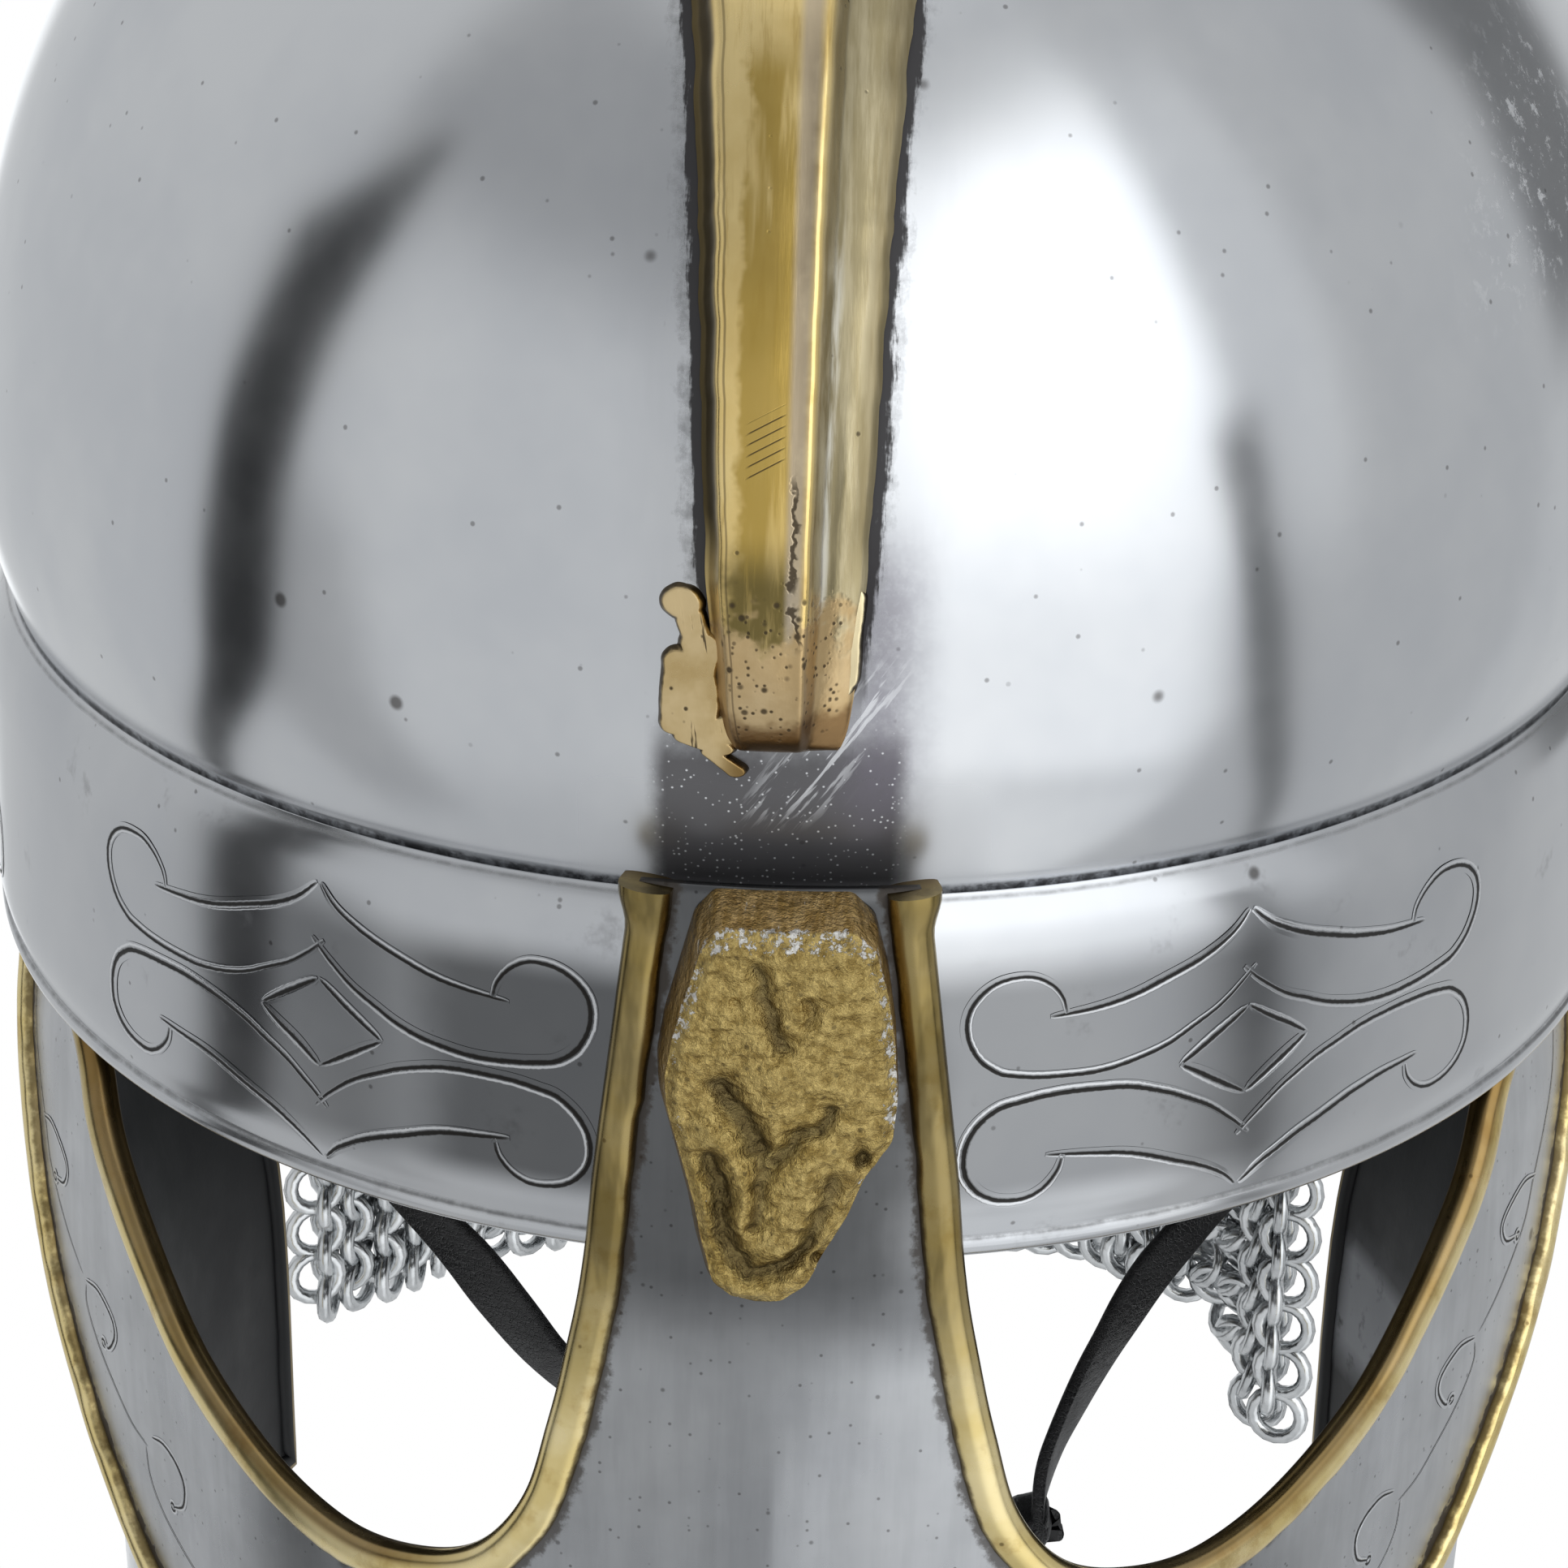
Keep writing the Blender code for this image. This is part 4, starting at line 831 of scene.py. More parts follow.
def binding_brass(name, with_painted_shade):
    """Brass strip: bright outside, brown where it folds behind the plate, grime at its plate side; where
    asked, painted shade over the upper eye strips and a painted dark reflection near the fold.
    """
    g = Graph(name)
    across, inside = g.attribute("across"), g.attribute("inside")
    cloud = g.noise(90, 4.0, 0.6)
    tone = g.mix(g.ramp(cloud, 0.35, 0.68), (0.72, 0.575, 0.250), (0.85, 0.72, 0.40))
    patina = g.mul(g.ramp(g.noise(150, 5.0, 0.65), 0.50, 0.68), 0.50)
    tone = g.mix(patina, tone, (0.44, 0.29, 0.085))
    if with_painted_shade:
        z = g.split()[2]
        # painted shade: the upper eye strips are dimmed, less so towards the wearer's left
        above = g.ramp(z, -0.026, 0.004)
        patches = g.ramp(g.drawn(3.0, 0.6, (260, 260, 60)), 0.40, 0.60, 0.75, 1.25)
        share = g.mul(patches, g.ramp(g.split()[0], 0.030, 0.055, 0.36, 0.72))
        golden_painted_shade = scaled(g, g.mix(0.5, tone, (0.62, 0.42, 0.10)), share)
        tone = g.mix(above, tone, golden_painted_shade)
        # painted dark reflection: the strip near the fold is turned brown away from the nasal
        painted_roll_reflection = g.mul(g.ramp(across, 0.40, 0.16), g.ramp(g.size(g.split()[0]), 0.030, 0.045))
        tone = g.mix(g.mul(painted_roll_reflection, 0.75), tone, (0.16, 0.085, 0.025))
    grime = g.ramp(g.add(across, g.waver(0.22, 600, 3.0, 0.6)), 0.88, 1.0)
    dark = g.most(g.mul(grime, 0.8), g.mul(inside, 0.80))
    pits = g.mul(g.dots(380, 0.14, 0.12), 0.7)
    colour = g.mix(g.most(dark, pits), tone, (0.105, 0.066, 0.022))
    fine = g.drawn(2.0, 0.5, (900, 900, 500))
    rough = g.add(g.ramp(cloud, 0.3, 0.7, 0.20, 0.29), g.mul(dark, 0.15))
    height = g.sub(g.add(g.mul(fine, 0.5), cloud), g.mul(pits, 1.5))
    return g.finish(colour, 1.0, rough, g.bump(height, 0.10, 0.00010))


def gilt():
    """Rough cast metal under gold paint, with painted shade in its cuts, worn to silver in patches along
    its high edges.
    """
    g = Graph("gilt casting")
    wear, hollow_shade, wall = g.attribute("wear"), g.attribute("hollow_shade"), g.attribute("wall")
    grain = g.noise(1200, 4.0, 0.70)
    cast = g.drawn(5.0, 0.7, (700, 700, 640))
    tone = g.mix(g.ramp(cast, 0.32, 0.68), (0.240, 0.163, 0.048), (0.52, 0.390, 0.145))
    # painted shade in the casting's cuts
    tone = g.mix(g.mul(g.ramp(hollow_shade, 0.15, 0.9), 0.72), tone, (0.075, 0.058, 0.030))
    tone = g.mix(g.mul(g.dots(760, 0.30, 0.40), 0.55), tone, (0.07, 0.05, 0.02))
    drawn = g.drawn(4.0, 0.6, (1500, 400, 60))
    side = g.mix(g.ramp(drawn, 0.35, 0.65), (0.24, 0.145, 0.045), (0.42, 0.29, 0.13))
    tone = g.mix(g.mul(wall, 0.85), tone, side)
    patchy = g.add(g.mul(wear, 0.80), g.waver(3.2, 800, 5.0, 0.78))
    bare = g.ramp(patchy, 0.88, 1.00)
    drips = g.mul(wall, g.ramp(drawn, 0.66, 0.72), 0.8)
    bare = g.most(bare, drips)
    colour = g.mix(g.mul(bare, 0.9), tone, (0.68, 0.67, 0.65))
    rough = g.blend(bare, g.ramp(grain, 0.3, 0.7, 0.13, 0.27), 0.30)
    height = g.sub(g.add(cast, g.mul(grain, 0.70)), g.mul(bare, 0.25))
    return g.finish(colour, 0.92, rough, g.bump(height, 0.85, 0.00060))


PAINT_SHINE = 0.28


def black_paint(name):
    g = Graph(name)
    cloud = g.noise(45, 4.0, 0.6)
    colour = g.mix(g.ramp(cloud, 0.3, 0.7), (0.0065, 0.0068, 0.0075), (0.0145, 0.0150, 0.0165))
    patch = g.mul(g.attribute("bare"), g.ramp(g.noise(260, 3.0, 0.6), 0.2, 0.45))
    colour = g.mix(patch, colour, (0.31, 0.32, 0.34))
    grain = g.noise(900, 3.0, 0.6)
    g.shader.inputs["Specular IOR Level"].default_value = PAINT_SHINE
    return g.finish(colour, 0.0, g.ramp(cloud, 0.3, 0.7, 0.42, 0.58), g.bump(grain, 0.12, 0.0002))


def leather():
    g = Graph("black leather")
    cloud = g.noise(120, 4.0, 0.6)
    grain = g.cells(1500, feature="DISTANCE_TO_EDGE")["Distance"]
    folds = g.drawn(4.0, 0.6, (300, 300, 900))
    worn = g.mul(g.ramp(folds, 0.55, 0.72), 0.4)
    colour = g.mix(g.ramp(cloud, 0.35, 0.7), (0.008, 0.008, 0.009), (0.020, 0.019, 0.020))
    colour = g.mix(worn, colour, (0.052, 0.050, 0.052))
    height = g.add(g.ramp(grain, 0.0, 0.12), g.mul(folds, 2.2))
    return g.finish(colour, 0.0, g.ramp(cloud, 0.3, 0.7, 0.36, 0.50), g.bump(height, 0.35, 0.00025))


def ring_steel():
    g = Graph("ring steel")
    cloud = g.noise(150, 3.0, 0.6)
    colour = g.mix(g.ramp(cloud, 0.35, 0.7), (0.52, 0.535, 0.545), (0.74, 0.755, 0.765))
    stain = g.ramp(g.noise(420, 4.0, 0.6), 0.62, 0.76)
    colour = g.mix(g.mul(stain, 0.6), colour, (0.16, 0.15, 0.14))
    fine = g.noise(1600, 2.0, 0.5)
    return g.finish(colour, 1.0, g.ramp(cloud, 0.3, 0.7, 0.20, 0.30), g.bump(fine, 0.12, 0.0001))


def cut_steel(name, dull, rolled):
    """An engraved line: painted shade down its cut and a painted highlight on its lip, under the plate's
    painted dark reflection, in the plate's own finish at its sides.
    """
    g = Graph(name)
    tone, rough, dirt, _ = steel_layers(g)
    across, weight = g.attribute("across"), g.attribute("weight")
    place = g.add(across, g.waver(0.26, 1500, 3.0, 0.6))
    cut = g.size(place)
    # painted shade down the cut, and a painted highlight on its lip
    dark = g.mul(g.ramp(cut, 0.40, 0.18), g.ramp(weight, 0.25, 0.6))
    lip = g.mul(g.between(place, 0.44, 0.78, 0.08), weight)
    # the plate's colour times the painted dark reflection over the brow
    colour = scaled(g, g.mix(g.mul(dirt, 0.75), tone, GRIME), painted_brow_reflection(g, rolled))
    colour = g.mix(g.mul(dark, 0.95), colour, (0.022, 0.020, 0.018))
    colour = g.mix(g.mul(lip, 0.60), colour, (0.80, 0.81, 0.83))
    depth = g.mul(g.ramp(cut, 0.0, 0.50), weight)
    shape = g.add(g.mul(depth, 0.8), g.mul(lip, 0.5))
    rough = g.add(rough, g.mul(dark, 0.35), dull)
    return g.finish(colour, 1.0, rough, g.bump(shape, 0.45, 0.00025))


strip_brass = binding_brass("binding brass", False)
eye_brass = binding_brass("eye binding brass", True)
paint = black_paint("black paint")
hide = leather()
rings_steel = ring_steel()

# The skull, with how far each point lies from the comb's two edges
SKULL_RINGS = 84
SKULL_SEGMENTS = 240
SKULL_UNEVEN = 0.00008
SKULL_SETTLE = 0.00006
COMB_LENGTHWISE = (
    (-4.0, 0.32, 0.02), (-2.4, 0.34, 0.02), (-0.8, 0.39, 0.20), (0.8, 0.44, 0.50),
    (3.0, 0.48, 0.76), (6.0, 0.50, 0.93), (12.0, 0.56, 1.00), (26.0, 0.64, 1.00),
    (40.0, 0.75, 1.00), (55.0, 0.93, 1.00), (68.0, 1.00, 1.00), (90.0, 1.00, 1.00),
)


def comb_form(turn):
    """The comb's half width and height at a turn along it."""
    width, rise = look_up(curve_through(COMB_LENGTHWISE, 6), np.minimum(turn, 180 - turn))
    return COMB_HALF_WIDTH * width, COMB_HEIGHT * rise


def skull_grid(rings, segments):
    seam_turn = -math.degrees(math.asin(SKULL_BULGE_RISE / SKULL_BELLY))
    belly = np.linspace(seam_turn, 0, 12, endpoint=False)
    dome = 90 * (1 - (1 - np.linspace(0, 1, rings)) ** 1.15)
    turns = np.radians(np.concatenate([belly, dome]))
    reach = np.where(turns < 0, SKULL_BELLY, SKULL_CROWN)
    share = np.cos(turns)
    height = SKULL_MIDDLE + reach * np.sin(turns)
    share = np.maximum(np.concatenate([[SKULL_SHARE] * 3, share]), 1e-6)[:, None]
    skirt = np.linspace(BAND_HEIGHT - SKULL_SKIRT, BAND_HEIGHT - 0.0005, 3)
    height = np.concatenate([skirt, height])[:, None]
    around = 360 * np.arange(segments)[None, :] / segments
    grid = plan_point(SKULL_HALF_WIDTH * share, SKULL_HALF_LENGTH * share, around, 0.0, height)
    outward = unit(grid - [0, 0, SKULL_MIDDLE])
    uneven = layered_noise(grid, 0.020, 3, 2) * smooth(0.045, 0.06, grid[..., 2])
    return grid + outward * (SKULL_UNEVEN * uneven - SKULL_SETTLE)[..., None]


grid = skull_grid(SKULL_RINGS, SKULL_SEGMENTS)
rise = (grid[..., 2] - SKULL_MIDDLE) / SKULL_CROWN
turn = np.degrees(np.arctan2(rise, -grid[..., 1] / SKULL_HALF_LENGTH))
half = comb_form(np.clip(turn, -COMB_END_TURN, 180 + COMB_END_TURN))[0]
attributes = {"comb_left": grid[..., 0] - half, "comb_right": -grid[..., 0] - half}
faces = grid_faces(*grid.shape[:2], True)
skull = face_outwards(build("skull", grid.reshape(-1, 3), faces, attributes, 38, 1e-6))
thicken(skull, SKULL_WALL)
dress(skull, [skull_steel()], ["skull_dome"])

# The brow band: its profile as shares of the lip's depth and of the height
BAND_PROFILE = (
    (0.62, 0.000), (0.34, 0.008), (0.18, 0.030), (0.20, 0.048), (0.30, 0.060), (0.24, 0.078),
    (0.07, 0.125), (0.01, 0.190), (0.00, 0.300), (0.00, 0.500), (0.00, 0.720), (0.02, 0.790),
    (0.12, 0.850), (0.34, 0.910), (0.66, 0.960), (0.90, 0.988), (1.00, 1.000),
)
BAND_SEGMENTS = 400
BAND_UNEVEN = 0.000015
BAND_SHAPE = curve_through(BAND_PROFILE, 5)


def band_inset(height):
    return np.interp(height / BAND_HEIGHT, BAND_SHAPE[:, 1], BAND_SHAPE[:, 0]) * BAND_LIP


around = 360 * np.arange(BAND_SEGMENTS)[None, :] / BAND_SEGMENTS
inset, height = -BAND_SHAPE[:, :1] * BAND_LIP, BAND_SHAPE[:, 1:] * BAND_HEIGHT
grid = plan_point(BAND_HALF_WIDTH, BAND_HALF_LENGTH, around, inset, height)
grid = grid + unit(grid * [1, 1, 0]) * (BAND_UNEVEN * layered_noise(grid, 0.014, 11, 2))[..., None]
band = face_outwards(build("band", grid.reshape(-1, 3), grid_faces(*grid.shape[:2], True)))
thicken(band, BAND_WALL)
dress(band, [band_steel()], ["brow_band"])

# Lengths round the band from the middle of the brow, for its engraving
BAND_TURNS = np.linspace(-180, 180, 1441)
spots = plan_point(BAND_HALF_WIDTH, BAND_HALF_LENGTH, BAND_TURNS, 0.0, 0.0)
BAND_LENGTHS = np.concatenate([[0], np.cumsum(np.linalg.norm(np.diff(spots, axis=0), axis=-1))])
BAND_LENGTHS = BAND_LENGTHS - BAND_LENGTHS[len(BAND_LENGTHS) // 2]


def band_place(along, height, out):
    """A point on the band's outer face at this length round it from the middle of the brow."""
    turn = np.interp(along, BAND_LENGTHS, BAND_TURNS)
    return plan_point(BAND_HALF_WIDTH, BAND_HALF_LENGTH, turn, out - band_inset(height), height)


# Engraving: one arm of the brow motif in millimetres from its middle, and its inner diamond
ARM_UPPER = ((0.2, 16.8), (2.5, 14.7), (6.0, 12.8), (10.7, 11.0), (15.0, 9.6), (19.5, 8.8), (24.8, 8.3))
ARM_CURL = (
    (22.8, 8.6), (23.4, 10.6), (25.0, 12.4), (27.3, 13.4), (30.4, 13.1), (32.7, 11.8), (34.0, 9.6),
    (34.0, 6.7), (32.7, 4.0), (30.5, 2.2), (28.4, 1.6), (24.5, 1.1), (19.3, 1.0), (14.8, 1.6),
    (10.6, 2.8), (7.4, 4.3), (4.3, 6.0), (1.4, 8.2), (-0.8, 10.3),
)
DIAMOND = ((-8.7, 0.0), (0.0, 5.4), (8.7, 0.0), (0.0, -5.2))
OUTER_ARM_STRETCH = 1.11
MOTIF_COUNT = 6
MOTIF_MIDDLE = 0.0205
MOTIF_STEP = 57.5
MOTIF_FIRST = 29.7
LINE_WIDTH = 0.0018
LINE_LIFT = 0.00006
MM = 0.001


def wobbled(path, seed, size=0.12):
    """A hand-cut line: the path in millimetres with slow small waves across it."""
    path = np.asarray(path, float)
    line = np.concatenate([path / 4.0, np.full((len(path), 1), seed * 7.3)], axis=1)
    return path + np.stack([value_noise(line, seed), value_noise(line + 31.7, seed + 1)], axis=-1) * size


pieces = []
for motif in range(MOTIF_COUNT):
    side = 1 if motif % 2 else -1
    turn = side * (MOTIF_FIRST + MOTIF_STEP * (motif // 2))
    middle = np.interp(turn, BAND_TURNS, BAND_LENGTHS)
    lines = []
    for flip_x, flip_z in ((1, 1), (-1, 1), (1, -1), (-1, -1)):
        longer = OUTER_ARM_STRETCH if flip_x * side > 0 else 1.0
        lines += [curve_through(table, 12) * [flip_x * longer, flip_z] for table in (ARM_UPPER, ARM_CURL)]
    for first, second in zip(DIAMOND, DIAMOND[1:] + DIAMOND[:1]):
        lines.append(np.linspace(first, second, 14))
    for number, line in enumerate(lines):
        seed = motif * 17 + number
        line = wobbled(line, seed) * MM + [middle, MOTIF_MIDDLE]
        weight = 0.85 + 0.30 * ((seed * 7) % 10) / 10
        pieces.append(ribbon(line, band_place, LINE_WIDTH * weight, LINE_LIFT))
dress(ribbon_object("band_engraving", pieces), [cut_steel("engraved band", 0.03, True)])

# The mask, with how far each point lies from its eye edge and its rim
MASK_STEPS = 9
MASK_COLUMNS = 36
near, far = eye_edge(MASK_STEPS), far_edge(MASK_STEPS)
share = np.linspace(0, 1, MASK_COLUMNS + 1)
turns = near[:, None, 0] + (far[:, None, 0] - near[:, None, 0]) * share
levels = near[:, None, 1] + (far[:, None, 1] - near[:, None, 1]) * share
left_half = mask_outside(turns, levels, 0.0)
rim_line = rim_edge(12)


def gap_to(points, line):
    """How far each point lies from the nearest point of a line."""
    flat = points.reshape(-1, 3)
    return np.concatenate([np.linalg.norm(p[None] - line, axis=-1).min(keepdims=True) for p in flat])


faces = grid_faces(*left_half.shape[:2])
count = left_half.shape[0] * left_half.shape[1]
faces += [[count + corner for corner in reversed(face)] for face in faces]
points = np.concatenate([left_half.reshape(-1, 3), left_half.reshape(-1, 3) * [-1, 1, 1]])
eye_gap = gap_to(left_half, mask_outside(near[:, 0], near[:, 1], 0.0))
rim_gap = gap_to(left_half, mask_outside(rim_line[:, 0], rim_line[:, 1], 0.0))
attributes = {"eye_gap": np.tile(eye_gap, 2), "rim_gap": np.tile(rim_gap, 2)}
mask = face_outwards(build("mask", points, faces, attributes, merge=1e-6))
thicken(mask, MASK_WALL)
dress(mask, [mask_steel()], ["face_mask"])

# Curls cut on the wearer's right cheek strip as turns and heights in millimetres, mirrored further in
CURLS = (
    ((67.4, -21.5), (65.0, -20.5), (62.5, -21.8), (61.5, -23.6), (62.3, -26.1), (64.3, -27.1)),
    ((58.4, -35.8), (56.2, -35.3), (54.2, -37.1), (53.9, -39.5), (55.0, -42.1), (55.9, -42.2)),
    ((49.6, -49.3), (47.8, -48.7), (46.1, -49.8), (45.3, -52.1), (45.9, -55.4), (47.5, -57.0)),
    ((38.6, -64.0), (36.6, -63.2), (34.8, -64.6), (34.0, -67.4), (34.7, -70.6), (36.4, -72.0)),
    ((24.0, -75.2), (21.8, -74.6), (19.8, -76.2), (19.1, -79.0), (20.0, -82.0), (21.8, -83.2)),
)
STEMS = (
    ((72.5, -3.0), (71.4, -9.5), (69.0, -16.5), (67.0, -21.8), (65.6, -26.5), (62.0, -32.0), (59.0, -35.6)),
    ((58.5, -36.6), (58.6, -39.4), (57.1, -43.3), (54.8, -47.1), (52.7, -50.1), (50.5, -51.5)),
    ((50.8, -51.7), (50.7, -55.9), (49.3, -59.6), (46.0, -63.2), (42.0, -65.6), (39.4, -66.2)),
    ((39.6, -66.6), (38.6, -71.0), (35.6, -75.0), (31.0, -77.2), (26.6, -77.8), (24.6, -77.4)),
    ((24.8, -78.0), (23.0, -82.6), (18.6, -86.0), (13.0, -87.4), (7.0, -87.0)),
)
CURL_WIDTH = 0.0013
STEM_WIDTH = 0.0004
CURL_LIFT = 0.00006
DOT_TURNS = 12
DOT_RADIUS = 0.55
LEFT_SHIFT = 2.4
pieces = []
for side in (-1, 1):
    shift = LEFT_SHIFT if side > 0 else 0.0
    for lines, width in ((CURLS, CURL_WIDTH), (STEMS, STEM_WIDTH)):
        for line in lines:
            places = curve_through(line, 10)
            places = np.stack([side * (places[:, 0] - shift), places[:, 1] * MM], axis=-1)
            pieces.append(ribbon(places, mask_outside, width, CURL_LIFT))
    for line in CURLS:
        angles = np.linspace(0, 2 * math.pi, DOT_TURNS)
        across = line[-1][0] - shift + np.cos(angles) * DOT_RADIUS / 2
        down = (line[-1][1] + np.sin(angles) * DOT_RADIUS * 0.9) * MM
        pieces.append(ribbon(np.stack([side * across, down], axis=-1), mask_outside, CURL_WIDTH, CURL_LIFT))
dress(ribbon_object("mask_scrolls", pieces), [cut_steel("engraved mask", 0.11, False)])

# Bindings: half-round strips folded over a plate's edge
BEAD_RISE = 1.615
WAVE_SIZE = 0.0035
FINE_WAVE_SIZE = 0.0017
DENT_SIZE = 0.0060
DENT_SHARE = 0.035
FLARE_REACH = 0.0012
FLARE_RISE = 0.0009
FOLD = CLEARANCE + BINDING_WALL
SECTION_STEPS = 12


def binding_section(wall, leg):
    """Rows of a strip's section: place in from the edge, out, place across, and whether inside."""
    flat = wall / 2 + CLEARANCE + BINDING_WALL
    middle, half = (leg - FOLD) / 2, (leg + FOLD) / 2
    rows = []
    for angle in np.linspace(0, math.pi, SECTION_STEPS):
        place = middle + half * math.cos(angle)
        low = wall / 2 * (1 + math.cos(angle)) / 2
        rise = low + (BEAD_RISE * flat - low) * math.sin(angle) ** 0.75
        rows.append((place, rise, (1 + math.cos(angle)) / 2, 0.0))
    for angle in np.linspace(math.pi, 0, SECTION_STEPS)[1:-1]:
        place = middle + half * math.cos(angle)
        rows.append((place, -flat * math.sin(angle) ** 0.5, (1 + math.cos(angle)) / 2, 1.0))
    rows.append((leg, -wall / 2, 1.0, 1.0))
    return np.array(rows)


def slopes(surface, u, v, step_u):
    step_v = 0.001
    along_u = (surface(u + step_u, v, 0.0) - surface(u - step_u, v, 0.0)) / (2 * step_u)
    along_v = (surface(u, v + step_v, 0.0) - surface(u, v - step_v, 0.0)) / (2 * step_v)
    return along_u, along_v


def binding_grid(edge, surface, section, step_u, towards, leg_wave, flare, seed):
    """Sections of a strip along a plate's edge, its plate side waving and its ends flared open."""
    spots = surface(edge[:, 0], edge[:, 1], 0.0)
    lengths = np.concatenate([[0], np.cumsum(np.linalg.norm(np.diff(spots, axis=0), axis=-1))])
    along_u, along_v = slopes(surface, edge[:, 0], edge[:, 1], step_u)
    normal = unit(np.cross(along_u, along_v))
    inward = unit(np.cross(normal, unit(np.gradient(spots, axis=0)))) * towards
    uu, uv, vv = (along_u * along_u).sum(-1), (along_u * along_v).sum(-1), (along_v * along_v).sum(-1)
    part_u, part_v = (along_u * inward).sum(-1), (along_v * inward).sum(-1)
    area = uu * vv - uv * uv
    move_u, move_v = (part_u * vv - part_v * uv) / area, (part_v * uu - part_u * uv) / area
    wave = noise_along(lengths / WAVE_SIZE, seed)
    wave = wave + 0.5 * noise_along(lengths / FINE_WAVE_SIZE, seed + 1)
    dents = noise_along(lengths / DENT_SIZE, seed + 2)
    grid = []
    for place, out, across, inside in section:
        reach = place * (1 + leg_wave * wave * across) - flare * FLARE_REACH * (1 - across)
        height = out * (1 + DENT_SHARE * dents) + flare * FLARE_RISE * (1 - 1.4 * inside)
        grid.append(surface(edge[:, 0] + reach * move_u, edge[:, 1] + reach * move_v, height))
    grid = np.stack(grid, axis=1)
    across = np.broadcast_to(section[:, 2], grid.shape[:2])
    inside = np.broadcast_to(section[:, 3], grid.shape[:2])
    return grid, {"across": across, "inside": inside}


eye_section = binding_section(MASK_WALL, EYE_BINDING_LEG)
rim_section = binding_section(MASK_WALL, EDGE_BINDING_LEG)
edge = eye_edge(16)
flare = smooth(BAND_HEIGHT - 0.0025, BAND_HEIGHT + MASK_TOP_RISE, edge[:, 1])
for side, name, seed in ((1, "left", 5), (-1, "right", 9)):
    grid, attributes = binding_grid(edge, mask_point, eye_section, 0.5, -1.0, 0.08, flare, seed)
    strip = tube_object(f"eye_strip_{name}", grid * [side, 1, 1], attributes, 50)
    dress(strip, [eye_brass], [f"eye_binding_{name}"])
grid, attributes = binding_grid(rim_edge(20), mask_point, rim_section, 0.5, 1.0, 0.26, 0.0, 21)
dress(tube_object("rim_strip", grid, attributes, 50), [strip_brass], ["rim_binding"])

# The cheek guards and their strips, with a bare patch in the black paint inside the left one
BARE_BACK = (-0.002, 0.0480)
BARE_LEVELS = (-0.099, -0.080)
BARE_EDGE = 0.0008
GUARD_ROWS = 44
columns = [guard_column(place, drop, GUARD_ROWS) for place, drop in curve_through(GUARD_HEM, 8)]
cells = np.stack(columns)
guard_grid = guard_point(cells[..., 0], cells[..., 1], GUARD_WALL / 2)
hem = np.stack([column[-1] for column in columns])
border = np.concatenate([columns[0][:-1], hem, columns[-1][-2::-1]])
guard_section = binding_section(GUARD_WALL, EDGE_BINDING_LEG)


def inside_range(value, ends, soft):
    return smooth(ends[0] - soft, ends[0] + soft, value) * smooth(ends[1] + soft, ends[1] - soft, value)


bare = inside_range(cells[..., 0], BARE_BACK, BARE_EDGE)
bare = bare * inside_range(cells[..., 1], BARE_LEVELS, BARE_EDGE)
plain_guard = guard_steel()
for side, name, seed in ((1, "left", 33), (-1, "right", 37)):
    points = (guard_grid * [side, 1, 1]).reshape(-1, 3)
    attributes = {"bare": bare if side > 0 else bare * 0}
    guard = build(f"guard_{name}", points, grid_faces(*cells.shape[:2]), attributes)
    thicken(face_outwards(guard, (0.0, 0.0, -0.05)), GUARD_WALL, 1)
    dress(guard, [plain_guard, paint], [f"cheek_guard_{name}"])
    grid, attributes = binding_grid(border, guard_point, guard_section, 0.001, 1.0, 0.15, 0.0, seed)
    strip = tube_object(f"guard_strip_{name}", grid * [side, 1, 1], attributes, 50)
    dress(strip, [strip_brass, paint], [f"guard_binding_{name}"])
    for face in strip.data.polygons:
        row = face.vertices[0] % len(guard_section)
        if SECTION_STEPS + 3 < row:
            face.material_index = 1

# The comb: its section as shares of its half width and height
COMB_SECTION = (
    (-1.00, 0.02), (-0.93, 0.10), (-0.86, 0.34), (-0.80, 0.72), (-0.72, 0.95), (-0.50, 0.98),
    (-0.20, 1.00), (0.10, 0.99), (0.24, 1.00), (0.30, 0.90), (0.36, 0.70), (0.44, 0.46),
    (0.60, 0.30), (0.80, 0.17), (0.93, 0.10), (1.00, 0.02),
)
COMB_STATIONS = 420
COMB_UNEVEN = 0.00008
COMB_SETTLE = 0.00004
FOOT_SINK = 0.0022
section = curve_through(COMB_SECTION, 4)
stations = np.linspace(-COMB_END_TURN, 180 + COMB_END_TURN, COMB_STATIONS)
half, rise = comb_form(stations)
ragged = 1 + 0.030 * noise_along(stations / 2.2, 41) + 0.015 * noise_along(stations / 0.8, 43)
across = half[:, None] * section[None, :, 0] * ragged[:, None]
lift = CLEARANCE + np.maximum(rise[:, None] * section[None, :, 1], 0.00015)
base = skull_over(across, stations[:, None], 0.0)
uneven = layered_noise(base, 0.010, 51, 3) * smooth(0.1, 0.5, section[None, :, 1])
sunk = FOOT_SINK * smooth(-1.0, -2.0, np.minimum(stations, 180 - stations))[:, None]
top = skull_over(across, stations[:, None], lift + COMB_UNEVEN * uneven - COMB_SETTLE - sunk)
seat_shares = np.linspace(1.0, -1.0, 9)
seat = skull_over(half[:, None] * seat_shares * ragged[:, None], stations[:, None], CLEARANCE / 2 - sunk)
grid = np.concatenate([top, seat], axis=1)
places = np.concatenate([section[:, 0], seat_shares])
turned = np.minimum(stations, 180 - stations)
attributes = {
    "across": np.broadcast_to(places, grid.shape[:2]),
    "turn": np.broadcast_to(turned[:, None], grid.shape[:2]),
}
dress(tube_object("comb_ridge", grid, attributes, 40), [comb_brass()], ["comb"])

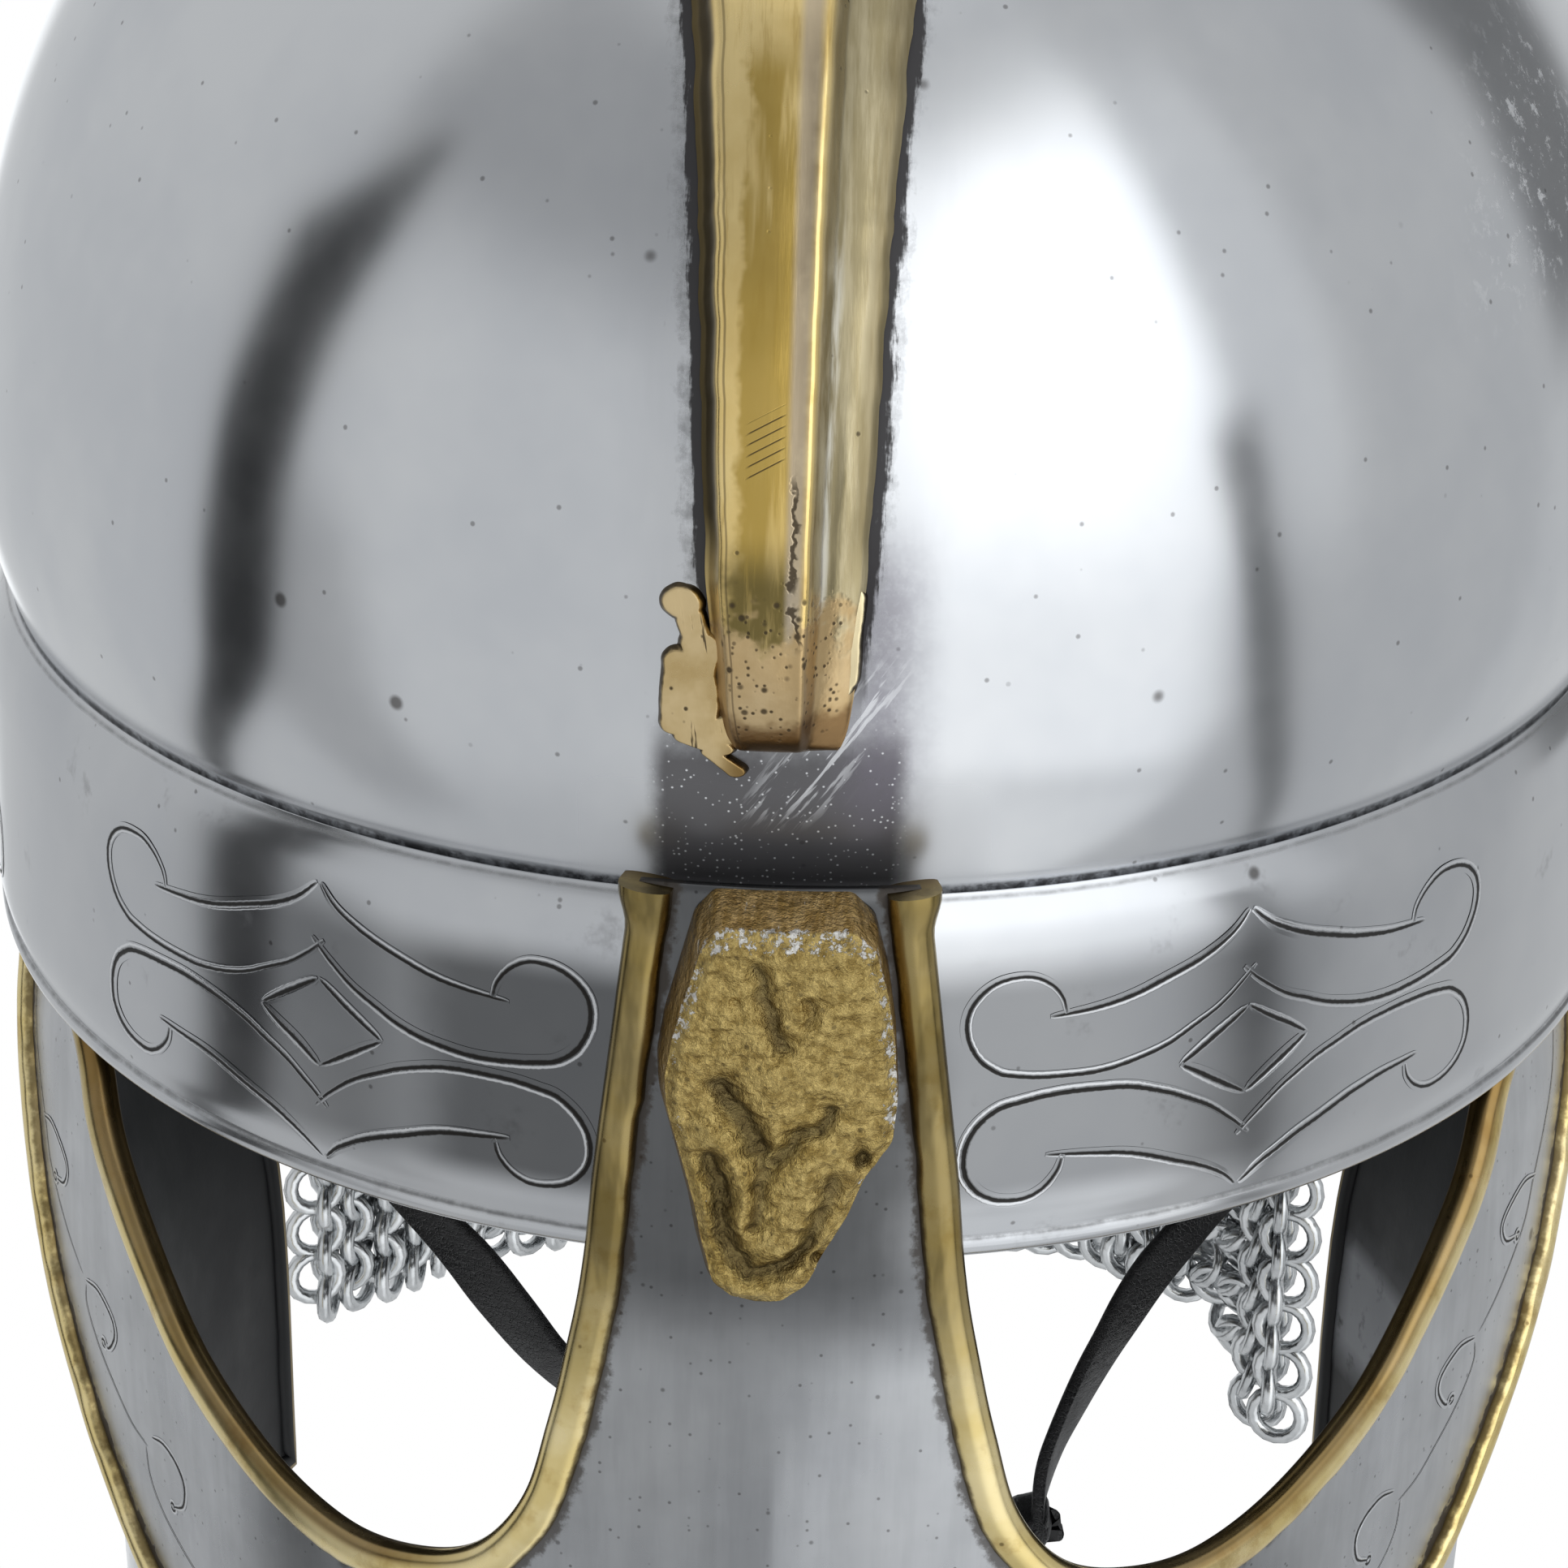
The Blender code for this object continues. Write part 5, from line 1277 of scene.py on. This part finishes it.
# The braze round the comb's foot, as rounded strokes: two ends (across in mm, turn) and a radius in mm
BRAZE = (
    (-11.3, 7.5, -10.4, 7.4, 2.1), (-9.8, 6.6, -8.6, 5.0, 1.7), (-11.1, 4.0, -11.3, 0.6, 2.1),
    (-8.6, 5.0, -8.6, 0.2, 2.5), (-10.0, -0.3, -6.6, -1.2, 1.8), (-7.6, -1.6, -5.0, -3.2, 1.3),
    (-6.0, 0.2, 1.2, -0.2, 2.6), (3.2, 1.1, 5.2, 2.9, 2.5), (6.2, 3.4, 7.0, 8.0, 1.7),
)
BRAZE_RISE = 0.0009
BRAZE_SINK = 0.0006
MM_PER_DEGREE = 2.12
across, turns = np.meshgrid(np.linspace(-0.0165, 0.0115, 170), np.linspace(-6.5, 11.5, 230))
places = np.stack([across / MM, turns * MM_PER_DEGREE], axis=-1)
cover = np.zeros(across.shape)
for first_x, first_turn, last_x, last_turn, radius in BRAZE:
    first = np.array([first_x, first_turn * MM_PER_DEGREE])
    last = np.array([last_x, last_turn * MM_PER_DEGREE])
    run = last - first
    share = np.clip((places - first) @ run / (run @ run), 0, 1)
    gap = np.linalg.norm(places - first - share[..., None] * run, axis=-1)
    cover = np.maximum(cover, 1.6 - gap / radius)
spots = skull_over(across, turns, 0.0)
cover = cover - 0.6 + 0.16 * layered_noise(spots, 0.0035, 81, 3)
raised = BRAZE_RISE * smooth(-0.05, 0.30, cover) * (1 + 0.18 * layered_noise(spots, 0.0050, 87, 2))
grid = skull_over(across, turns, raised - BRAZE_SINK * smooth(0.05, -0.10, cover))
faces = grid_faces(*grid.shape[:2])
kept = set(np.flatnonzero((cover > -0.16).ravel()).tolist())
faces = [face for face in faces if all(corner in kept for corner in face)]
pad = build("comb_braze", grid.reshape(-1, 3), faces, {"thin": np.clip(cover, 0, 1)}, 60)
dress(face_outwards(pad), [braze()])

# The cast beast head: its outline as shares across and down
OUTLINE = (
    (-0.540, 0.000), (0.600, 0.000), (0.790, 0.055), (0.900, 0.170), (0.966, 0.298), (1.000, 0.450),
    (0.966, 0.560), (0.728, 0.660), (0.590, 0.763), (0.390, 0.864), (0.250, 0.945), (0.050, 0.990),
    (-0.156, 1.000), (-0.395, 0.986), (-0.565, 0.945), (-0.667, 0.844), (-0.735, 0.743),
    (-0.870, 0.600), (-0.986, 0.480), (-1.000, 0.400), (-0.940, 0.298), (-0.800, 0.156),
    (-0.700, 0.055),
)
# Cuts and welts in the casting: places across and down, half width in mm, depth as a share of the height
CUTS = (
    (((-0.136, 0.142), (-0.078, 0.232), (0.040, 0.330)), 1.05, 0.17),
    (((0.270, 0.220), (0.250, 0.270)), 0.70, 0.11),
    (((-0.335, 0.225), (-0.300, 0.228)), 0.55, 0.08),
    (((-0.430, 0.435), (-0.310, 0.484), (-0.150, 0.540), (-0.120, 0.580)), 1.35, 0.24),
    (((0.435, 0.484), (0.370, 0.532), (0.200, 0.547), (0.110, 0.580), (-0.030, 0.610)), 1.15, 0.18),
    (((-0.100, 0.580), (-0.080, 0.650), (-0.125, 0.735), (-0.150, 0.775)), 1.00, 0.16),
    (((-0.490, 0.615), (-0.430, 0.686), (-0.395, 0.776), (-0.335, 0.852), (-0.200, 0.888)), 1.25, 0.26),
    (((-0.200, 0.888), (0.040, 0.890), (0.156, 0.860), (0.300, 0.810)), 1.05, 0.22),
    (((0.300, 0.810), (0.415, 0.720), (0.460, 0.664)), 1.10, 0.16),
    (((0.700, 0.605), (0.705, 0.607)), 0.90, 0.30),
    (((0.355, 0.850), (0.360, 0.852)), 0.70, 0.16),
)
WELTS = (
    (((-0.500, 0.545), (-0.330, 0.590), (-0.220, 0.660), (-0.220, 0.755)), 1.70, 0.13),
    (((-0.560, 0.900), (-0.290, 0.935), (0.040, 0.943), (0.300, 0.900)), 1.70, 0.09),
    (((0.220, 0.610), (0.260, 0.700), (0.130, 0.800)), 2.20, 0.08),
    (((-0.060, 0.420), (0.020, 0.500)), 2.40, 0.06),
    (((0.300, 0.870), (0.330, 0.890)), 0.80, 0.10),
)
HEAD_RINGS = 110
RIM_RINGS = 20
BORDER_STEP = 0.32
HEAD_HEART = np.array([0.0, 0.46])
HEAD_SHIFT = np.array([0.045, 0.014])
WALL_TOP = 0.74
FACE_SHARE = 0.915
HEAD_SCALE = np.array([ORNAMENT_HALF_WIDTH, ORNAMENT_LENGTH]) / MM


def seat_place(across, drop, rise):
    turn = np.degrees(np.arcsin(across * ORNAMENT_HALF_WIDTH / (BAND_HALF_WIDTH + NASAL_STANDOFF)))
    height = BAND_HEIGHT + MASK_TOP_RISE - drop * ORNAMENT_LENGTH
    return mask_outside(turn, height, CLEARANCE + rise * ORNAMENT_HEIGHT)


def relief(spot, strokes):
    """How far ragged strokes move the surface at places across and down, as a share of the height."""
    total = np.zeros(spot.shape[:-1])
    flat = np.concatenate([spot * HEAD_SCALE, np.zeros((*spot.shape[:-1], 1))], axis=-1)
    stray = np.stack([layered_noise(flat, 1.7, 63, 2), layered_noise(flat, 1.7, 65, 2)], axis=-1)
    spot = spot + 0.30 * stray / HEAD_SCALE
    for line, reach, depth in strokes:
        gap = np.full(total.shape, 99.0)
        for first, last in zip(line, line[1:]):
            first, run = np.array(first) * HEAD_SCALE, (np.array(last) - first) * HEAD_SCALE
            from_first = spot * HEAD_SCALE - first
            share = np.clip(from_first @ run / (run @ run), 0, 1)
            gap = np.minimum(gap, np.linalg.norm(from_first - share[..., None] * run, axis=-1))
        total = np.maximum(total, depth * np.exp(-((gap / reach) ** 2)))
    return total


outline = np.vstack([OUTLINE, OUTLINE[:1]])
border = []
for first, last in zip(outline, outline[1:]):
    steps = max(2, int(np.linalg.norm((last - first) * HEAD_SCALE) / BORDER_STEP))
    border += [first + (last - first) * step / steps for step in range(steps)]
border = np.array(border)
for _ in range(3):
    border = 0.5 * border + 0.25 * (np.roll(border, 1, axis=0) + np.roll(border, -1, axis=0))
wall_levels = np.linspace(0.0, WALL_TOP, 9)
lean = wall_levels / WALL_TOP
wall_shares = 1.0 - (1.0 - FACE_SHARE) * lean**1.3
face_shares = [np.linspace(0.995, 0.90, RIM_RINGS), np.linspace(0.89, 0.0, HEAD_RINGS - RIM_RINGS)]
face_shares = FACE_SHARE * np.concatenate(face_shares)
shares = np.concatenate([wall_shares, face_shares])
lean = np.concatenate([lean, np.ones(HEAD_RINGS)])[:, None, None]
levels = np.concatenate([wall_levels, np.zeros(HEAD_RINGS)])
spot = HEAD_HEART + HEAD_SHIFT * lean + (border - HEAD_HEART)[None] * shares[:, None, None]
face = np.arange(len(shares)) >= len(wall_levels)
shares = shares / FACE_SHARE
dome = WALL_TOP + 0.02 + 0.12 * smooth(1.0, 0.88, shares) + 0.06 * smooth(0.9, 0.2, shares)
cut, welt = relief(spot, CUTS), relief(spot, WELTS)
flat = np.concatenate([spot * HEAD_SCALE * MM, np.zeros((*spot.shape[:2], 1))], axis=-1)
wide = flat * [0.75, 1.35, 1.0]
grain = 0.030 * layered_noise(wide, 0.0013, 61, 2) + 0.028 * layered_noise(flat, 0.0050, 67, 2)
level = np.where(face[:, None], dome[:, None] - cut + welt + grain, levels[:, None])
level = level + np.where(face[:, None], 0.0, 0.3 * grain * levels[:, None])
grid = seat_place(spot[..., 0], spot[..., 1], level)
rim_band = smooth(0.80, 0.96, shares) * smooth(1.02, 1.0, shares)
across, drop = spot[..., 0], spot[..., 1]
upper = np.maximum(smooth(0.14, 0.09, drop), smooth(-0.42, -0.70, across) * smooth(0.36, 0.30, drop))
right_rim = smooth(0.72, 0.86, across) * smooth(0.60, 0.50, drop)
elsewhere = np.maximum(smooth(0.50, 0.72, np.abs(across)) * 0.45, 0.30)
worn = rim_band[:, None] * np.maximum(np.maximum(upper, right_rim), elsewhere)
attributes = {
    "wear": np.clip(worn - 2.0 * cut + 0.25, 0, 1.1),
    # painted shade in the cuts
    "hollow_shade": np.clip(cut * 4.5, 0, 1),
    "wall": np.broadcast_to(np.where(face, 0.0, 1.0)[:, None], cut.shape),
}
beast = build("beast_head", grid.reshape(-1, 3), grid_faces(*grid.shape[:2], True), attributes, 70, 1e-7)
dress(beast, [gilt()], ["nasal_ornament"])

# The mail: rows of round rings, each through its four neighbours
RING_RADIUS = 0.0038
RING_WIRE = 0.00115
RING_STEP = 0.0053
RING_ROW = 0.0038
RING_SIDES = 7
RING_TURNS = 16
RING_LEAN = 33.0
RING_STRAY_LEAN = 6.0
RING_STRAY = 0.00018
MAIL_PARTS = ("right", "right_back", "left_back", "left")


def ring_points(centre, across, down, normal, lean):
    """A round ring whose plane leans to one side of the sheet."""
    angle = math.radians(lean)
    level = across * math.cos(angle) + normal * math.sin(angle)
    turns = 2 * math.pi * np.arange(RING_TURNS) / RING_TURNS
    sides = 2 * math.pi * np.arange(RING_SIDES) / RING_SIDES
    radial = np.cos(turns)[:, None] * level + np.sin(turns)[:, None] * down
    spots = centre + radial[:, None] * (RING_RADIUS + RING_WIRE * np.cos(sides))[None, :, None]
    return spots + np.cross(level, down) * (RING_WIRE * np.sin(sides))[None, :, None]


around = (np.arange(RING_TURNS + 1) % RING_TURNS)[:, None] * RING_SIDES
sides = (np.arange(RING_SIDES + 1) % RING_SIDES)[None, :]
corners = around + sides
ring_quads = [corners[:-1, :-1], corners[:-1, 1:], corners[1:, 1:], corners[1:, :-1]]
ring_quads = np.stack(ring_quads, axis=-1).reshape(-1, 4)

spine = mail_point(np.linspace(0, 1, 800), 0.5, 0.0)
mail_length = np.linalg.norm(np.diff(spine, axis=0), axis=-1).sum()
mail_parts = {name: [] for name in MAIL_PARTS}
rng = np.random.default_rng(12)
border_share = (RING_RADIUS + RING_WIRE) / mail_length
for column in range(int(mail_length / RING_STEP)):
    for row in range(int(mail_reach(1.0) / RING_ROW)):
        share = border_share + (column + 0.5 * (row % 2)) * RING_STEP / mail_length
        reach = float(mail_reach(share))
        length = RING_RADIUS + RING_WIRE + row * RING_ROW
        if share > 1 - border_share or length > reach - RING_RADIUS - RING_WIRE:
            continue
        depth = length / reach
        along = unit(mail_point(share + 0.003, depth, 0.0) - mail_point(share - 0.003, depth, 0.0))
        down = mail_point(share, depth + 0.01, 0.0) - mail_point(share, depth - 0.01, 0.0)
        down = unit(down - along * (down @ along))
        normal = np.cross(along, down)
        lean = RING_LEAN * (1 if row % 2 else -1) + rng.uniform(-RING_STRAY_LEAN, RING_STRAY_LEAN)
        stray = normal * rng.uniform(-RING_STRAY, RING_STRAY)
        stray = stray + along * rng.uniform(-RING_STRAY, RING_STRAY)
        name = MAIL_PARTS[min(3, int(share * 4))]
        centre = mail_point(share, depth, 0.0) + stray
        mail_parts[name].append(ring_points(centre, along, down, normal, lean))
for name, found in mail_parts.items():
    starts = np.arange(len(found))[:, None, None] * RING_TURNS * RING_SIDES
    faces = (ring_quads[None] + starts).reshape(-1, 4).tolist()
    mail = build(f"mail_rings_{name}", np.concatenate(found).reshape(-1, 3), faces, None, 180)
    dress(mail, [rings_steel], ["mail_aventail"] if name == "right" else [])


# The chin strap: two halves as routes of places and turns about their lines
LEATHER_EDGE = 0.0007
CRUMPLE = 0.06
CURL = 0.00035


def strap_seat(side, height):
    spot = guard_point(STRAP_PLACE, height, -GUARD_WALL / 2 - STRAP_CLEARANCE - STRAP_THICKNESS / 2)
    along = slopes(guard_point, STRAP_PLACE, height, 0.001)[0]
    return [side * spot[0], spot[1], spot[2], math.degrees(math.atan2(side * along[0], along[1]))]


def route_point(across, back, drop):
    return [across * BAND_HALF_WIDTH, back * BAND_HALF_LENGTH, -drop * GUARD_DROP]


def strap_arc(bar, first, last, steps):
    """Places round one bar of the buckle."""
    reach = BUCKLE_WIRE + STRAP_CLEARANCE + STRAP_THICKNESS / 2
    angles = np.radians(np.linspace(first, last, steps + 1))
    return [[bar[0] + reach * math.cos(a), bar[1], bar[2] + reach * math.sin(a), 0.0] for a in angles]


def rounded_section(half_width, half_thickness, radius, count):
    """A flat strap's section with rounded edges, as places across and through."""
    spots = []
    for across, through, first in ((1, 1, 90), (1, -1, 0), (-1, -1, -90), (-1, 1, -180)):
        for step in range(count):
            angle = math.radians(first - 90 * step / (count - 1))
            centre = (across * (half_width - radius), through * (half_thickness - radius))
            spots.append((centre[0] + radius * math.cos(angle), centre[1] + radius * math.sin(angle)))
    return np.array(spots)


buckle_middle = np.array(route_point(*BUCKLE_PLACE))
tilt = math.radians(BUCKLE_TILT)
buckle_axis = np.array([math.cos(tilt), 0.0, math.sin(tilt)])
to_bar = buckle_axis * BUCKLE_LENGTH / 2
tail = [[*buckle_middle, 0.0]] + [[*route_point(*row), 0.0] for row in STRAP_TAIL]
strap_ends = {
    1: strap_arc(buckle_middle + to_bar, 0.0, -190.0, 5),
    -1: strap_arc(buckle_middle - to_bar, 115.0, 55.0, 3) + tail,
}
section = rounded_section(STRAP_WIDTH / 2, STRAP_THICKNESS / 2, LEATHER_EDGE, 5)
for side, name, route in ((1, "left", STRAP_ROUTE_LEFT), (-1, "right", STRAP_ROUTE_RIGHT)):
    path = [strap_seat(side, -stop * RIVET_DROP) for stop in STRAP_SEAT_STOPS]
    path += [[*route_point(side * across, back, drop), side * twist] for across, back, drop, twist in route]
    path = curve_through(path + strap_ends[side], 12)
    spots = path[:, :3]
    run = unit(np.gradient(spots, axis=0))
    twist = np.radians(path[:, 3])
    level = stack(np.sin(twist), np.cos(twist), 0.0)
    across = unit(level - run * (run * level).sum(-1, keepdims=True))
    crumple = 1 - CRUMPLE * np.abs(layered_noise(spots, 0.012, 71, 2))
    curl = CURL * layered_noise(spots, 0.014, 73, 2)
    cupped = section[None, :, 1] + (section[None, :, 0] / (STRAP_WIDTH / 2)) ** 2 * curl[:, None]
    grid = spots[:, None] + across[:, None] * (section[None, :, :1] * crumple[:, None, None])
    grid = grid + np.cross(run, across)[:, None] * cupped[..., None]
    dress(tube_object(f"strap_{name}", grid, None, 60), [hide], [f"chin_strap_{name}"])

# The strap's leather, folded up inside the buckle
FOLD_REACH = (0.0056, 0.0040)
FOLD_HALF = STRAP_WIDTH / 2 - 0.0006
FOLD_SHIFT = (0.0036, 0.0, 0.0022)
FOLD_ROWS = 19
FOLD_SIDES = 32
flat = np.cross(buckle_axis, [0, 1, 0])
sides = 2 * math.pi * np.arange(FOLD_SIDES) / FOLD_SIDES
rows = np.linspace(0, math.pi, FOLD_ROWS)[:, None]
ends = np.sin(rows) ** 0.22
wound = ends * (1 + 0.10 * np.sin(3 * sides + 0.8)[None, :] + 0.05 * np.sin(7 * sides)[None, :])
along = FOLD_REACH[0] * wound * np.cos(sides)[None, :]
through = FOLD_REACH[1] * wound * np.sin(sides)[None, :]
body = buckle_middle + np.array(FOLD_SHIFT) + buckle_axis * along[..., None] + flat * through[..., None]
body = body - np.array([0, 1, 0]) * (FOLD_HALF * np.cos(rows))[..., None]
dress(tube_object("buckle_fold", body, None, 60), [hide])

# The buckle's frame in black paint, and the rivets' paint
WRAP_TURNS = 12
WRAP_DENTS = 0.12
CORNER_STEPS = 12
CORNER_SHARE = 0.25
half_width = STRAP_WIDTH / 2 + 2 * CLEARANCE + BUCKLE_WIRE
half_length = BUCKLE_LENGTH / 2
corner = CORNER_SHARE * half_length
spots = []
for across, along, first in ((1, 1, 0), (-1, 1, 90), (-1, -1, 180), (1, -1, 270)):
    for step in range(CORNER_STEPS + 1):
        angle = math.radians(first + 90 * step / CORNER_STEPS)
        place_across = across * (half_width - corner) + corner * math.cos(angle)
        place_along = along * (half_length - corner) + corner * math.sin(angle)
        spots.append(np.array([0, 1, 0]) * place_across + buckle_axis * place_along)
spots = np.array(spots)
run = unit(np.roll(spots, -1, axis=0) - np.roll(spots, 1, axis=0))
out = np.cross(run, flat)
turns = 2 * math.pi * np.arange(WRAP_TURNS) / WRAP_TURNS
wire = BUCKLE_WIRE * (1 + WRAP_DENTS * noise_along(np.arange(len(spots)) / 2.0, 91))[:, None, None]
ring = out[:, None] * np.cos(turns)[None, :, None] + flat * np.sin(turns)[None, :, None]
grid = buckle_middle + spots[:, None] + wire * ring
faces = grid_faces(*grid.shape[:2], True)
last = (len(spots) - 1) * WRAP_TURNS
for turn in range(WRAP_TURNS):
    after = (turn + 1) % WRAP_TURNS
    faces.append([last + turn, last + after, after, turn])
buckle = build("buckle_frame", grid.reshape(-1, 3), faces, None, 60)
frame_paint = black_paint("buckle paint")
dress(buckle, [frame_paint], ["strap_buckle"])
for name in ("left", "right"):
    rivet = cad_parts[f"strap_rivet_{name}"]
    for place in rivet.material_slots:
        place.link = "OBJECT"
        place.material = frame_paint

# The camera, at the photograph's place
CAMERA_PLACE = (0.01391, -0.64686, 0.27415)
CAMERA_FORWARD = (-0.02418, 0.92408, -0.38144)
CAMERA_RIGHT = (0.99933, 0.03285, 0.01624)
CAMERA_LENS = 123.45
CAMERA_SENSOR = 36.0
camera_data = bpy.data.cameras.new("camera")
camera_data.sensor_width = CAMERA_SENSOR
camera_data.lens = CAMERA_LENS
camera_data.clip_start = 0.01
camera = bpy.data.objects.new("camera", camera_data)
bpy.context.scene.collection.objects.link(camera)
forward = Vector(CAMERA_FORWARD).normalized()
up = Vector(CAMERA_RIGHT).cross(forward).normalized()
right = forward.cross(up).normalized()
axes = Matrix((right, up, -forward)).transposed()
camera.matrix_world = Matrix.Translation(CAMERA_PLACE) @ axes.to_4x4()
bpy.context.scene.camera = camera

# A white floor far under the helmet, which lights nothing
FLOOR_LEVEL = -0.30
FLOOR_REACH = 9.0
floor_mesh = bpy.data.meshes.new("floor")
corners = [(x * FLOOR_REACH, y * FLOOR_REACH, FLOOR_LEVEL) for x, y in ((-1, -1), (1, -1), (1, 1), (-1, 1))]
floor_mesh.from_pydata(corners, [], [(0, 1, 2, 3)])
floor = link("floor", floor_mesh)
g = Graph("floor white")
g.shader.inputs["Base Color"].default_value = (0.0, 0.0, 0.0, 1.0)
g.shader.inputs["Specular IOR Level"].default_value = 0.0
g.shader.inputs["Emission Color"].default_value = (1.0, 1.0, 1.0, 1.0)
g.shader.inputs["Emission Strength"].default_value = 1.0
floor_mesh.materials.append(g.material)
floor.visible_glossy = False
floor.visible_diffuse = False
floor.visible_shadow = False
floor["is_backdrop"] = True

# The studio: pale walls, a large soft box to the right and the dark gaps between the screens.
# Each patch has its two azimuths, two elevations, softness across and up, and brightness
PATCHES = (
    (-82, 14, 30, 95, 4, 12, 0.46), (-70, 8, -40, 30, 10, 12, 0.76),
    (-84, -64, -50, -3, 5, 6, 0.50), (10, 63, -38, 12, 8, 8, 1.32), (20, 80, -80, -38, 8, 8, 1.00),
    (10, 63, -6, 12, 6, 6, 1.50), (8, 63, 8, 52, 4.5, 11, 1.95), (66, 119, -75, 80, 3, 10, 0.63),
    (66, 82, -6, 50, 3, 8, 0.84), (121.5, 144, -6, 30, 2.5, 4, 0.22),
    (-200, -158, -40, 20, 3, 6, 1.35), (-400, 400, 70, 95, 3, 8, 0.95),
)
world = bpy.data.worlds.new("studio")
bpy.context.scene.world = world
world.use_nodes = True
w = Graph("", world.node_tree)
background = world.node_tree.nodes["Background"]
direction = world.node_tree.nodes.new("ShaderNodeTexCoord").outputs["Generated"]
dx, dy, dz = w.split(direction)
azimuth = w.mul(w.math("ARCTAN2", dx, w.mul(dy, -1.0)), 180 / math.pi)
sine = w.math("MINIMUM", w.math("MAXIMUM", dz, -1.0), 1.0)
elevation = w.mul(w.math("ARCSINE", sine), 180 / math.pi)
light = w.ramp(elevation, -75, -20, 0.62, 0.70)
for az_low, az_high, el_low, el_high, soft_az, soft_el, brightness in PATCHES:
    patch = w.between(azimuth, az_low, az_high, soft_az)
    patch = w.mul(patch, w.between(elevation, el_low, el_high, soft_el))
    light = w.blend(patch, light, brightness)


def dark_gap(light, gap):
    """A dark gap between two screens: it leans and bends low down, and narrows and leans back high up."""
    middle, half_width, soft, brightness, lean_level, lean, bend_level, reach, power, bend, levels = gap
    drop = w.most(w.sub(lean_level, elevation), 0.0)
    share = w.mul(w.most(w.sub(bend_level, elevation), 0.0), 1 / reach)
    over = w.most(w.sub(elevation, GAP_TOP_LEVEL), 0.0)
    bent = w.mul(w.math("POWER", share, power), bend)
    middle = w.add(w.mul(drop, lean), middle, bent, w.mul(over, GAP_TOP_LEAN))
    half_width = w.most(w.sub(half_width, w.mul(over, GAP_NARROWING)), 0.2)
    inside = w.ramp(w.sub(w.size(w.sub(azimuth, middle)), half_width), soft, -soft)
    return w.blend(w.mul(inside, w.between(elevation, *levels)), light, brightness)


# Each gap has its azimuth, half width, softness and brightness, the level below which it leans, its lean,
# the level below which it bends, that bend's reach, power and size, and two end levels with their softness
GAPS = (
    (-78.5, 6.9, 0.7, 0.01, 20.0, -0.17, 0.0, 40, 4.5, -25.0, (-48, 40, 3)),
    (64.5, 3.4, 0.9, 0.14, 12.0, 0.18, 12.0, 64, 5.0, 27.0, (-53, 10, 3)),
)
GAP_TOP_LEVEL = 22.0
GAP_TOP_LEAN = 0.45
GAP_NARROWING = 0.32
for gap in GAPS:
    light = dark_gap(light, gap)
w.feed(background.inputs["Color"], (0.965, 0.985, 1.0))
w.feed(background.inputs["Strength"], light)

bpy.context.scene.view_settings.view_transform = "Standard"
bpy.context.scene.view_settings.look = "None"

shown_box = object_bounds()
boxes = {"cad": cad_box, "shown": shown_box}
boxes = {key: [[float(value) for value in corner] for corner in box] for key, box in boxes.items()}
